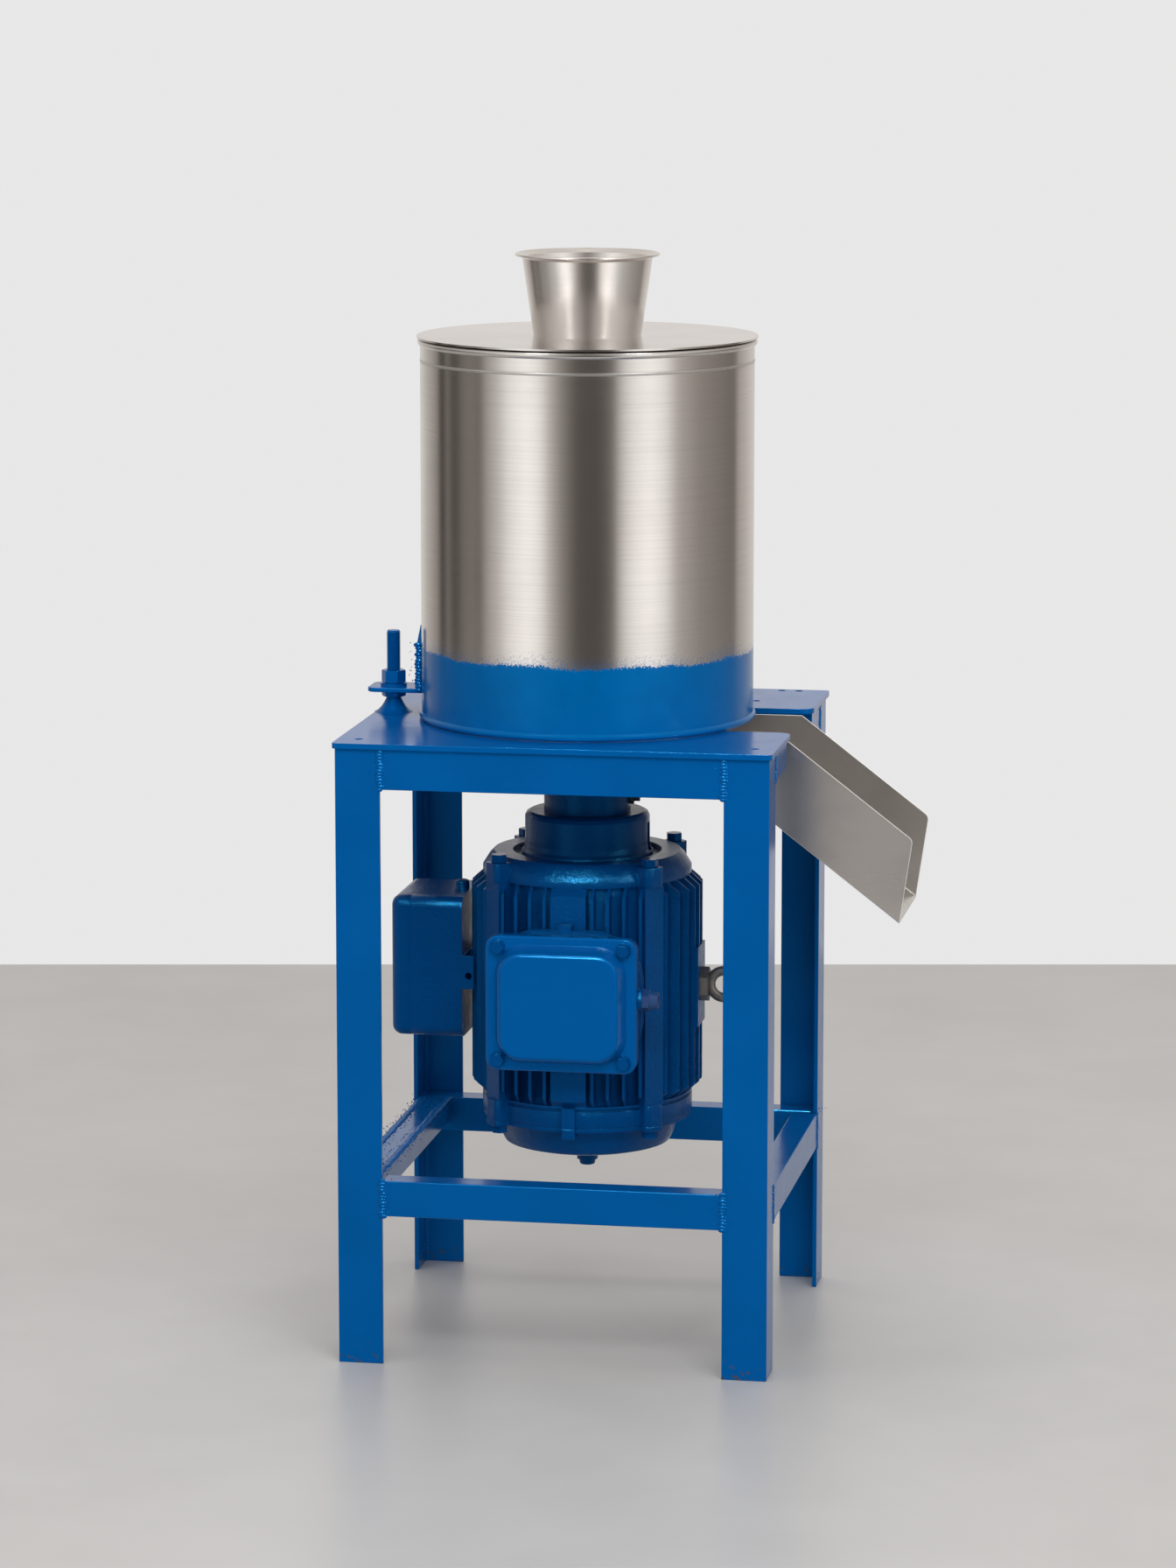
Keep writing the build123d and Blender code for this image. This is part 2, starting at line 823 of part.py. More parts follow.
shaft_seal = ring(shaft_radius + 2 * seat_gap, bearing_radius, seal_bottom, plate_top - 2)
save(shaft_seal, "shaft_seal")

with BuildPart() as housing_bolts:
    head_top = housing_top - housing_flange_thickness
    with BuildSketch(Plane.XY.offset(head_top)):
        with PolarLocations(housing_bolt_circle_radius, 4, start_angle=45):
            RegularPolygon(1.8 * housing_bolt_radius, 6)
    extrude(amount=-1.3 * housing_bolt_radius)
    with BuildSketch(Plane.XY.offset(head_top)):
        with PolarLocations(housing_bolt_circle_radius, 4, start_angle=45):
            Circle(housing_bolt_radius)
    extrude(amount=housing_bolt_length)
save(housing_bolts, "housing_bolts")

with BuildPart() as grease_nipple:
    head_face = housing_radius + seat_gap
    with BuildSketch(Plane((head_face, 0, grease_nipple_height), z_dir=(1, 0, 0))):
        RegularPolygon(1.6 * grease_nipple_radius, 6)
    extrude(amount=grease_nipple_radius)
    with BuildSketch(Plane((housing_waist + 3, 0, grease_nipple_height), z_dir=(1, 0, 0))):
        Circle(nipple_hole_radius)
    extrude(amount=housing_radius - housing_waist + 2 * grease_nipple_radius)
save(grease_nipple, "grease_nipple")

# Grinding shaft and the coupling that joins it to the motor shaft
spindle_top = lower_stone_top + feed_nut_height - 1
spindle = turned([(0, shaft_meeting), (shaft_radius, shaft_meeting), (shaft_radius, spindle_top), (0, spindle_top)])
save(spindle, "spindle")
shaft_coupling = ring(shaft_radius, coupling_radius, coupling_bottom, coupling_bottom + coupling_length)
save(shaft_coupling, "shaft_coupling")
motor_shaft = turned(
    [
        (0, motor_shaft_bottom),
        (shaft_radius, motor_shaft_bottom),
        (shaft_radius, shaft_meeting),
        (0, shaft_meeting),
    ]
)
save(motor_shaft, "motor_shaft")

# Adaptor that hangs the motor from the bearing housing, slotted to reach the coupling
with BuildPart() as motor_adaptor:
    collar_bore = housing_radius - 4
    with BuildSketch(Plane.XZ):
        with BuildLine():
            Polyline(
                (hub_radius - hub_wall, motor_top),
                (hub_radius + hub_flare, motor_top),
                (hub_radius + hub_flare / 3, motor_top + hub_flare),
                (hub_radius, motor_top + 3 * hub_flare),
                (hub_radius, hub_top - hub_edge),
                (hub_radius - hub_edge / 3, hub_top - hub_edge / 3),
                (hub_radius - hub_edge, hub_top),
                (collar_bore, hub_top),
                (collar_bore, hub_top - hub_wall),
                (hub_radius - hub_wall, hub_top - hub_wall),
                close=True,
            )
        make_face()
    revolve(axis=Axis.Z)
    with BuildSketch(Plane.XY.offset(motor_top)):
        with Locations((hub_radius, 0)):
            Rectangle(3 * hub_wall, hub_slot_width)
    extrude(amount=hub_slot_height, mode=Mode.SUBTRACT)
save(motor_adaptor, "motor_adaptor")


def ears(bottom, top):
    """Four drilled lugs for the long motor bolts, standing at the corners of the motor."""
    with BuildPart() as lugs:
        with BuildSketch(Plane.XY.offset(bottom)):
            with PolarLocations(ear_circle_radius, 4, start_angle=45):
                RectangleRounded(2 * ear_radius, 2 * ear_radius, ear_radius / 2)
        extrude(amount=top - bottom)
    return lugs


def ear_holes(bottom, top, radius):
    """Straight pins on the circle of the long motor bolts."""
    with BuildPart() as pins:
        with BuildSketch(Plane.XY.offset(bottom)):
            with PolarLocations(ear_circle_radius, 4, start_angle=45):
                Circle(radius)
        extrude(amount=top - bottom)
    return pins


# Upper end shield: cone, rim, bearing seat and the groove round the adaptor
ear_top = upper_joint + ear_rise
ceiling = motor_top - shield_wall
with BuildPart() as shield_top:
    with BuildSketch(Plane.XZ):
        with BuildLine():
            Polyline(
                (shaft_radius + 1, motor_top),
                (recess_inner, motor_top),
                (recess_inner, motor_top - recess_depth),
                (recess_radius, motor_top - recess_depth),
                (recess_radius, motor_top),
                (shield_top_radius - shield_edge, motor_top),
                (shield_top_radius, motor_top - shield_edge),
                (shield_top_radius + shield_edge, motor_top - 2 * shield_edge),
                (shield_skirt_radius, motor_top - shield_cone_height),
                (shield_skirt_radius, upper_joint),
                (stator_bore, upper_joint),
                (stator_bore, upper_joint + shield_edge),
                (stator_bore - shield_wall, ceiling),
                (bearing_radius + shield_wall, ceiling),
                (bearing_radius + shield_wall, ceiling - bearing_width),
                (bearing_radius, ceiling - bearing_width),
                (bearing_radius, ceiling),
                (shaft_radius + 1, ceiling),
                close=True,
            )
        make_face()
    revolve(axis=Axis.Z)
    add(ears(upper_joint, ear_top).part)
    add(ear_holes(upper_joint, ear_top, ear_bolt_radius + slip_fit).part, mode=Mode.SUBTRACT)
save(shield_top, "motor_end_shield_top")

# Stator frame: straight fins in four quadrants, so every quadrant's fins lie parallel
with BuildPart() as motor_frame:
    with BuildSketch(Plane.XY.offset(lower_joint)):
        Circle(frame_core_radius)
        for quarter in (0, 90, 180, 270):
            facing = radians(quarter)
            shifts = [middle_fin, *fin_offsets]
            for shift in shifts + [-value for value in shifts]:
                tip = sqrt(fin_tip_radius**2 - shift**2)
                if quarter == 270:
                    tip = min(tip, pad_distance)
                middle = (tip + frame_core_radius / 2) / 2
                foot = (
                    middle * cos(facing) - shift * sin(facing),
                    middle * sin(facing) + shift * cos(facing),
                )
                with Locations(foot):
                    Rectangle(tip - frame_core_radius / 2, fin_thickness, rotation=quarter)
        with Locations((0, -pad_distance / 2)):
            Rectangle(2 * pad_half_width, pad_distance)
        Circle(stator_bore, mode=Mode.SUBTRACT)
    extrude(amount=frame_length)
    with BuildSketch(Plane.XZ):
        with BuildLine():
            full = fin_tip_radius + 1
            bare = shield_skirt_radius
            Polyline(
                (0, lower_joint),
                (bare, lower_joint),
                (full, lower_joint + fin_end_taper),
                (full, upper_joint - fin_end_taper),
                (bare, upper_joint),
                (0, upper_joint),
                close=True,
            )
        make_face()
    revolve(axis=Axis.Z, mode=Mode.INTERSECT)
    with BuildSketch(Plane.XY.offset(lower_joint)):
        with Locations((0, -shield_skirt_radius / 2)):
            Rectangle(2 * pad_half_width, shield_skirt_radius)
        for quarter in (45, 135, 225, 315):
            reach = ear_circle_radius + ear_radius * 0.75
            middle = (reach + frame_core_radius / 2) / 2
            with Locations((middle * cos(radians(quarter)), middle * sin(radians(quarter)))):
                Rectangle(reach - frame_core_radius / 2, corner_pad_width, rotation=quarter)
        Circle(stator_bore, mode=Mode.SUBTRACT)
    extrude(amount=frame_length)
    strap_plane = -capacitor_box_near + strap_thickness
    with BuildSketch(Plane.YZ.offset(strap_plane)):
        with Locations((0, strap_bottom + strap_height / 2)):
            Rectangle(2 * strap_boss_half_width, strap_height)
    extrude(amount=-strap_plane - frame_core_radius + shield_wall)
    with BuildSketch(Plane.YZ.offset(eye_pad_face)):
        with Locations((0, eye_z)):
            Rectangle(2 * eye_pad_half_width, eye_pad_height)
    extrude(amount=frame_core_radius - shield_wall - eye_pad_face)
    with BuildSketch(Plane.YZ.offset(eye_pad_face)):
        with Locations((0, eye_z)):
            Circle(eye_shank_radius)
    extrude(amount=-eye_shank_depth, mode=Mode.SUBTRACT)
    deep = ear_bolt_depth + 1
    add(ear_holes(upper_joint - deep, upper_joint, ear_bolt_radius + slip_fit).part, mode=Mode.SUBTRACT)
    add(ear_holes(lower_joint, lower_joint + deep, ear_bolt_radius + slip_fit).part, mode=Mode.SUBTRACT)
save(motor_frame, "motor_frame")

# Lower end shield and the domed cap under it
with BuildPart() as shield_bottom:
    with BuildSketch(Plane.XZ):
        with BuildLine():
            Polyline(
                (bearing_radius, shield_base),
                (band_radius, shield_base),
                (band_radius, lower_joint - 2 * band_edge),
                (band_radius - band_edge, lower_joint - 2 * band_edge),
                (band_radius - band_edge, lower_joint - band_edge),
                (band_radius, lower_joint - band_edge),
                (band_radius, lower_joint),
                (stator_bore, lower_joint),
                (stator_bore - 4, shield_base + shield_wall),
                (bearing_radius + shield_wall, shield_base + shield_wall),
                (bearing_radius + shield_wall, shield_base + bearing_width),
                (bearing_radius, shield_base + bearing_width),
                close=True,
            )
        make_face()
    revolve(axis=Axis.Z)
    with BuildSketch(facing_front(front_lug_reach, shield_base + shield_depth / 2)):
        Rectangle(front_lug_width, shield_depth)
    extrude(amount=stator_bore - front_lug_reach)
    add(ears(shield_base, lower_joint).part)
    add(ear_holes(shield_base, lower_joint, ear_bolt_radius + slip_fit).part, mode=Mode.SUBTRACT)
save(shield_bottom, "motor_end_shield_bottom")

with BuildPart() as end_cap:
    flange_base = shield_base - cap_flange_height
    with BuildSketch(Plane.XZ):
        with BuildLine():
            Polyline(
                (plug_tip_radius, cap_bottom),
                (cap_floor_radius, cap_bottom),
                (cap_body_radius - cap_rounding / 3, cap_bottom + cap_rounding / 3),
                (cap_body_radius, cap_bottom + cap_rounding),
                (cap_neck_radius, flange_base),
                (cap_flange_radius, flange_base),
                (cap_flange_radius, shield_base),
                (cap_neck_radius - cap_wall, shield_base),
                (cap_neck_radius - cap_wall, flange_base),
                (cap_body_radius - cap_wall, cap_bottom + cap_rounding),
                (cap_body_radius - cap_wall - cap_rounding / 3, cap_bottom + cap_wall + cap_rounding / 3),
                (cap_floor_radius - cap_wall, cap_bottom + cap_wall),
                (plug_tip_radius, cap_bottom + cap_wall),
                close=True,
            )
        make_face()
    revolve(axis=Axis.Z)
    add(ears(flange_base, shield_base).part)
    with BuildSketch(Plane.XY.offset(flange_base)):
        Circle(cap_neck_radius - cap_wall)
    extrude(amount=cap_flange_height, mode=Mode.SUBTRACT)
    with BuildSketch(facing_front(front_lug_reach, shield_base - cap_flange_height)):
        Rectangle(front_lug_width, 2 * cap_flange_height)
    extrude(amount=cap_neck_radius - cap_wall - front_lug_reach)
    add(ear_holes(flange_base, shield_base, ear_bolt_radius + slip_fit).part, mode=Mode.SUBTRACT)
save(end_cap, "motor_end_cap")

with BuildPart() as motor_bolts:
    lower_head_top = shield_base - cap_flange_height
    add(ear_holes(upper_joint - ear_bolt_depth, ear_top, ear_bolt_radius).part)
    add(ear_holes(lower_head_top, lower_joint + ear_bolt_depth, ear_bolt_radius).part)
    with BuildSketch(Plane.XY.offset(ear_top), Plane.XY.offset(lower_head_top - ear_bolt_head_height)):
        with PolarLocations(ear_circle_radius, 4, start_angle=45):
            RegularPolygon(ear_bolt_head, 6)
    extrude(amount=ear_bolt_head_height)
save(motor_bolts, "motor_bolts")

drain_plug = turned(
    [
        (0, cap_bottom - plug_length),
        (plug_tip_radius - 1, cap_bottom - plug_length),
        (plug_tip_radius, cap_bottom - plug_length + 2),
        (plug_tip_radius, cap_bottom - plug_collar_height),
        (plug_radius, cap_bottom - plug_collar_height),
        (plug_radius, cap_bottom),
        (plug_tip_radius, cap_bottom),
        (plug_tip_radius, cap_bottom + cap_wall + 2),
        (0, cap_bottom + cap_wall + 2),
    ]
)
save(drain_plug, "drain_plug")

# Inside the motor
core_top = core_bottom + core_length
stator_core = ring(rotor_radius + air_gap, stator_bore, core_bottom, core_top)
save(stator_core, "stator_core")
upper_coils = ring(winding_inner, winding_outer, core_top, core_top + winding_height)
lower_coils = ring(winding_inner, winding_outer, core_bottom - winding_height, core_bottom)
with BuildPart() as windings:
    add(upper_coils.part)
    add(lower_coils.part)
save(windings, "windings")
save(ring(shaft_radius, rotor_radius, core_bottom, core_top), "rotor")
race = shaft_radius + running_fit
top_motor_bearing = ring(race, bearing_radius, ceiling - bearing_width, ceiling)
bottom_motor_bearing = ring(race, bearing_radius, shield_base, shield_base + bearing_width)
with BuildPart() as motor_bearings:
    add(top_motor_bearing.part)
    add(bottom_motor_bearing.part)
save(motor_bearings, "motor_bearings")

# Terminal box: a tray on the front pad with a raised, screwed cover
cover_bolt_spots = [(x, z) for x in (-cover_bolt_x, cover_bolt_x) for z in (-cover_bolt_z, cover_bolt_z)]
gland_y = gland_inset - box_face
gland_seat = Plane((box_width / 2 + gland_boss, gland_y, gland_z), z_dir=(1, 0, 0))
with BuildPart() as terminal_box:
    with BuildSketch(facing_front(pad_distance, box_centre)):
        RectangleRounded(box_width, box_height, box_corner)
    extrude(amount=box_depth - box_flange)
    with BuildSketch(facing_front(pad_distance + box_rib, box_centre)):
        Rectangle(box_lug_width, 2 * box_lug_height)
    extrude(amount=box_lug_depth)
    with BuildSketch(facing_front(box_face - box_flange, box_centre)):
        RectangleRounded(cover_width, cover_height, cover_corner)
    extrude(amount=box_flange)
    for rib_start in (box_rib, box_rib + box_rib_pitch):
        with BuildSketch(facing_front(pad_distance + rib_start, box_centre)):
            RectangleRounded(box_width + box_rib, box_height + box_rib, box_corner)
        extrude(amount=box_rib_depth)
    with BuildSketch(gland_seat):
        Circle(gland_boss_radius)
    extrude(amount=-gland_boss - box_wall)
    with BuildSketch(facing_front(pad_distance + box_wall, box_centre)):
        RectangleRounded(box_width - 2 * box_wall, box_height - 2 * box_wall, box_inner_corner)
    extrude(amount=box_depth, mode=Mode.SUBTRACT)
    with BuildSketch(facing_front(box_face, box_centre)):
        with Locations(*cover_bolt_spots):
            Circle(cover_bolt_radius + slip_fit)
    extrude(amount=-box_depth / 2, mode=Mode.SUBTRACT)
    with BuildSketch(gland_seat):
        Circle(gland_radius)
    extrude(amount=-gland_boss - 2 * box_wall, mode=Mode.SUBTRACT)
save(terminal_box, "terminal_box")

with BuildPart() as terminal_cover:
    with BuildSketch(facing_front(box_face, box_centre)):
        RectangleRounded(cover_width, cover_height, cover_corner)
    extrude(amount=cover_flange)
    chamfer(terminal_cover.faces().sort_by(Axis.Y)[0].edges(), cover_edge)
    with BuildSketch(facing_front(box_face + cover_flange, box_centre)):
        RectangleRounded(panel_width, panel_height, panel_corner)
    extrude(amount=panel_rise, taper=panel_taper)
    fillet(terminal_cover.faces().sort_by(Axis.Y)[0].edges(), panel_edge)
    with BuildSketch(facing_front(box_face, box_centre)):
        RectangleRounded(panel_width - panel_rise, panel_height - panel_rise, panel_corner)
    extrude(amount=cover_flange + panel_rise - box_wall, mode=Mode.SUBTRACT)
    with BuildSketch(facing_front(box_face, box_centre)):
        with Locations(*cover_bolt_spots):
            Circle(cover_bolt_radius + slip_fit)
    extrude(amount=cover_flange, mode=Mode.SUBTRACT)
save(terminal_cover, "terminal_cover")

with BuildPart() as cover_bolts:
    bolt_seat = box_face + cover_flange
    with BuildSketch(facing_front(bolt_seat, box_centre)):
        with Locations(*cover_bolt_spots):
            Circle(cover_washer)
    extrude(amount=cover_washer_thickness)
    with BuildSketch(facing_front(bolt_seat + cover_washer_thickness, box_centre)):
        with Locations(*cover_bolt_spots):
            RegularPolygon(cover_bolt_head, 6)
    extrude(amount=cover_bolt_head_height)
    with BuildSketch(facing_front(bolt_seat, box_centre)):
        with Locations(*cover_bolt_spots):
            Circle(cover_bolt_radius)
    extrude(amount=-cover_flange - box_depth / 3)
save(cover_bolts, "cover_bolts")

with BuildPart() as terminal_block:
    block_back = pad_distance + box_wall
    with BuildSketch(facing_front(block_back, box_centre)):
        Rectangle(block_width, block_height)
    extrude(amount=block_depth * 0.7)
    with BuildSketch(facing_front(block_back + block_depth * 0.7, box_centre)):
        with GridLocations(block_width / 3, block_height / 2, 3, 2):
            RegularPolygon(block_height / 10, 6)
    extrude(amount=block_depth * 0.3)
save(terminal_block, "terminal_block")

with BuildPart() as cable_gland:
    with BuildSketch(gland_seat):
        RegularPolygon(gland_hex / 2, 6, major_radius=False)
    extrude(amount=gland_hex_length)
    with BuildSketch(gland_seat.offset(gland_hex_length)):
        Circle(gland_hex / 2 - 0.5)
    extrude(amount=gland_length - gland_hex_length, taper=8)
    with BuildSketch(gland_seat):
        Circle(gland_radius)
    extrude(amount=-gland_boss - box_wall - 2)
    with BuildSketch(gland_seat.offset(gland_length)):
        Circle(gland_bore)
    extrude(amount=-2 * gland_length, mode=Mode.SUBTRACT)
save(cable_gland, "cable_gland")

# Capacitor box on a strap at the left of the motor
box_middle = (capacitor_box_bottom + capacitor_box_top) / 2
tall = capacitor_box_top - capacitor_box_bottom
wide = 2 * capacitor_box_half_depth
thin = 2 * capacitor_box_wall


def facing_left(distance):
    """A plane that looks towards -X at the height of the capacitor box."""
    return Plane((-distance, 0, box_middle), x_dir=(0, 1, 0), z_dir=(-1, 0, 0))


with BuildPart() as capacitor_box:
    with BuildSketch(facing_left(capacitor_box_near)):
        RectangleRounded(wide, tall, capacitor_box_corner)
    extrude(amount=capacitor_box_seam - capacitor_box_near)
    with BuildSketch(Plane.XY.offset(capacitor_box_top)):
        with Locations((nipple_x, 0)):
            Circle(nipple_radius)
    extrude(amount=nipple_height)
    fillet(capacitor_box.faces().sort_by(Axis.Z)[-1].edges(), nipple_edge)
    with BuildSketch(Plane.XY.offset(capacitor_box_top + nipple_height)):
        with Locations((nipple_x, 0)):
            Circle(nipple_radius / 2)
    extrude(amount=-nipple_height - thin, mode=Mode.SUBTRACT)
    with BuildSketch(facing_left(capacitor_box_near + capacitor_box_wall)):
        RectangleRounded(wide - thin, tall - thin, capacitor_box_corner - capacitor_box_wall)
    extrude(amount=capacitor_box_seam, mode=Mode.SUBTRACT)
save(capacitor_box, "capacitor_box")

with BuildPart() as capacitor_lid:
    with BuildSketch(facing_left(capacitor_box_seam)):
        RectangleRounded(wide, tall, capacitor_box_corner)
    extrude(amount=capacitor_box_far - capacitor_box_seam)
    fillet(capacitor_lid.faces().sort_by(Axis.X)[0].edges(), capacitor_lid_edge)
    with BuildSketch(facing_left(capacitor_box_seam)):
        RectangleRounded(wide - 2 * thin, tall - 2 * thin, capacitor_box_corner - capacitor_box_wall)
    extrude(amount=capacitor_box_far - capacitor_box_seam - thin, mode=Mode.SUBTRACT)
save(capacitor_lid, "capacitor_lid")

with BuildPart() as capacitors:
    can_x = -(capacitor_box_near + capacitor_box_seam) / 2
    can_bottom = capacitor_box_bottom + capacitor_box_wall
    for level, radius, height in (
        (can_bottom, capacitor_radius, capacitor_length),
        (can_bottom + capacitor_length, capacitor_radius / 4, capacitor_radius / 2),
    ):
        with BuildSketch(Plane.XY.offset(level)):
            with Locations((can_x, -capacitor_spacing / 2), (can_x, capacitor_spacing / 2)):
                Circle(radius)
        extrude(amount=height)
save(capacitors, "capacitors")

with BuildPart() as capacitor_strap:
    strap_front = -capacitor_box_half_depth - strap_ear_wall
    with BuildSketch(Plane.XY.offset(strap_bottom)):
        with BuildLine():
            Polyline(
                (-capacitor_box_near, strap_front),
                (strap_ear_length - capacitor_box_near, strap_front),
                (strap_ear_length - capacitor_box_near, -capacitor_box_half_depth),
                (strap_plane, -capacitor_box_half_depth),
                (strap_plane, capacitor_box_half_depth),
                (-capacitor_box_near, capacitor_box_half_depth),
                close=True,
            )
        make_face()
    extrude(amount=strap_height)
    with BuildSketch(facing_front(-strap_front, strap_bottom + strap_hole_rise)):
        with Locations(((strap_plane + strap_ear_length - capacitor_box_near) / 2, 0)):
            Circle(strap_hole_radius)
    extrude(amount=-strap_ear_wall, mode=Mode.SUBTRACT)
save(capacitor_strap, "capacitor_strap")

# Lifting eye screwed into the right pad
with BuildPart() as lifting_eye:
    with BuildSketch(Plane((eye_pad_face, 0, eye_z), z_dir=(1, 0, 0))):
        RegularPolygon(eye_hex / 2, 6, major_radius=False)
    extrude(amount=eye_hex_length)
    with BuildSketch(Plane((eye_pad_face, 0, eye_z), z_dir=(1, 0, 0))):
        Circle(eye_shank_radius)
    extrude(amount=-eye_shank_depth)
    with Locations(Location((eye_centre, 0, eye_z), (90, 0, 0))):
        Torus(eye_ring_radius, eye_ring_section)
save(lifting_eye, "lifting_eye")
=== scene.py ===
"""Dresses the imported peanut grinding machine: finishes, edges, welds, thread and studio."""

import json
from math import cos, pi, radians, sin

import bmesh
import bpy
from mathutils import Matrix, Vector, noise

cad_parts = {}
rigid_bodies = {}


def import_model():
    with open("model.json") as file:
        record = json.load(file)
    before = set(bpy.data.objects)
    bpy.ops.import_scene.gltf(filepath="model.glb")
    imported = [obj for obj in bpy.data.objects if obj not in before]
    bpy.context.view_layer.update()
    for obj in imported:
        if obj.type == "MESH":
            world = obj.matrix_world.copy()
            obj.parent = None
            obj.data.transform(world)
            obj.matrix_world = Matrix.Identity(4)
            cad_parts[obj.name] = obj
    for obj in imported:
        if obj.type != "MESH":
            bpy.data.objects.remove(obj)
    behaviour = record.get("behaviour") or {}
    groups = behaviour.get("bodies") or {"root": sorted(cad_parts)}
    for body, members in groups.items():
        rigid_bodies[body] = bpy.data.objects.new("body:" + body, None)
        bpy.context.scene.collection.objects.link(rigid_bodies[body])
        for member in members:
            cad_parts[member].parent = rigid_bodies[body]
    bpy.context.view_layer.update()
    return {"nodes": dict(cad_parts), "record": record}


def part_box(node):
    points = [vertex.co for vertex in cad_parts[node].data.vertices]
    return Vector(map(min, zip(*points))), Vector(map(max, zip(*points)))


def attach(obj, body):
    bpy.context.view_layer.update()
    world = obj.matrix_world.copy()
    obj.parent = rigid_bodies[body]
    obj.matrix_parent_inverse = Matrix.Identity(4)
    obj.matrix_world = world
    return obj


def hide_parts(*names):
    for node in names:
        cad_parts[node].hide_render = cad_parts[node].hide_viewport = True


bl_info = {
    "name": "Peanut grinding machine",
    "version": (1, 0, 0),
    "blender": (4, 5, 0),
    "location": "View3D > Sidebar > Grinder",
    "description": "Finishes and small parts for a vertical peanut grinding machine",
    "category": "Object",
}

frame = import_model()

# The camera stands this far round from the front, towards +X
FACE_TURN = radians(9.94)
# It looks down by this many degrees
CAMERA_DIP = 9.53
CAMERA_PLACE = (1.0640, -6.0678, 1.6550)

# Half the floor's width and depth; its far edge is the line where the floor meets the backdrop
FLOOR_REACH = (4.0, 2.05, 1.0)

# Noise scales of the enamel's fine ripple and of its uneven film
PEEL_SCALE = 420.0
FILM_SCALE = 38.0

# The enamel's highlights are tinted, so that pale panels don't wash out its blue
GLOSS_TINT = (0.05, 0.5, 1.0, 1.0)
GLOSS_LEVEL = 0.4

# How closely the brush marks follow each other along x, y and z
ROUND_BRUSH = (2.5, 2.5, 620.0)
CHUTE_BRUSH = (6.0, 420.0, 420.0)
BRUSH_DEPTH = 0.00004

# The line pressed into the drum below its rim
SWAGE_DROP = 0.025
SWAGE_HALF_WIDTH = 0.0014

RUST = (0.06, 0.04, 0.028)
# Dark colour of the narrow band just below the drum's rim
RIM_BAND_DARK = (0.03, 0.028, 0.025)
STAIN = (0.05, 0.035, 0.025)
# Near white of the chute's ground cut edges, which also stands in as a painted highlight
GROUND_EDGE_HIGHLIGHT = (0.96, 0.95, 0.93)

# The stud, with its thread's start above the plate
STUD_RADIUS = 0.008
THREAD_START = 0.0165
THREAD_SIDES = 32

# The stud's flared foot: share of its radius on the plate, and height above the plate
FLARE = ((1.0, 0.0), (0.82, 0.0022), (0.64, 0.0062), (0.5, 0.011), (0.36, 0.0172))

# Length, width and height of a weld ripple, as shares of its size
RIPPLE_SHAPE = (0.75, 1.25, 0.42, 1.0)

# Width of the rounded edges, and how the nodes that have them start
ROUNDED = (
    (0.0009, ("leg_", "top_rail_", "lower_rail_", "motor_frame", "motor_end_")),
    (0.0014, ("top_plate",)),
    (0.001, ("adjuster_bracket",)),
    (0.0007, ("chute",)),
    (0.0012, ("terminal_cover", "terminal_box", "capacitor_")),
    (0.0006, ("adjusting_nut", "jam_nut", "motor_bolts", "cover_bolts", "cable_", "drain_plug")),
)

# Lamps: turn in degrees from the camera's side, size and place in metres, power in watts,
# and the height on the machine's axis that each is aimed at
SOFTBOXES = {
    "overhead": dict(turn=180, distance=0.5, height=3.4, width=1.7, tall=1.3, power=26, aim=0.6),
    "front_key": dict(turn=6, distance=3.2, height=3.3, width=3.0, tall=1.8, power=92, aim=0.55),
    "low_fill": dict(turn=20, distance=5.0, height=0.9, width=3.0, tall=1.4, power=34, aim=0.5),
}
# These show only as reflections, the first two on every piece and the others on painted ones
GLINTS = {
    "glint_0": dict(turn=-38, distance=2.3, height=3.0, width=0.45, tall=1.5, power=11, aim=0.6),
    "glint_2": dict(turn=38, distance=2.3, height=3.0, width=0.45, tall=1.5, power=11, aim=0.6),
}
PAINT_GLINTS = {
    "glint_top": dict(turn=-4, distance=1.5, height=3.4, width=1.3, tall=0.2, power=150, aim=0.5),
    "glint_front": dict(
        turn=-12, distance=3.1, height=2.5, width=1.1, tall=0.25, power=300, aim=0.5
    ),
    "glint_right": dict(turn=60, distance=2.6, height=2.0, width=0.2, tall=1.1, power=110, aim=0.5),
}

# Panels that the sheet metal mirrors: degrees round the machine from the front, and brightness
LOW_PANELS = (
    (-180, 0.75), (-158, 0.72), (-140, 0.52), (-126, 0.34), (-122, 0.05), (-117, 0.06),
    (-113, 0.27), (-107, 0.09), (-101, 0.09), (-96, 0.2), (-86, 0.23), (-79, 0.13),
    (-74, 0.42), (-64, 0.68), (-55, 1.1), (-42, 1.36), (-33, 1.16), (-26, 0.62),
    (-18, 0.3), (-8, 0.1), (8, 0.08), (18, 0.16), (23, 0.75), (32, 1.16),
    (43, 1.36), (54, 1.1), (65, 0.52), (84, 0.32), (123, 0.19), (127, 0.48),
    (150, 0.68), (180, 0.75),
)
HIGH_PANELS = (
    (-180, 0.8), (-110, 0.45), (-44, 1.0), (0, 0.2), (44, 1.0), (110, 0.45), (180, 0.8),
)


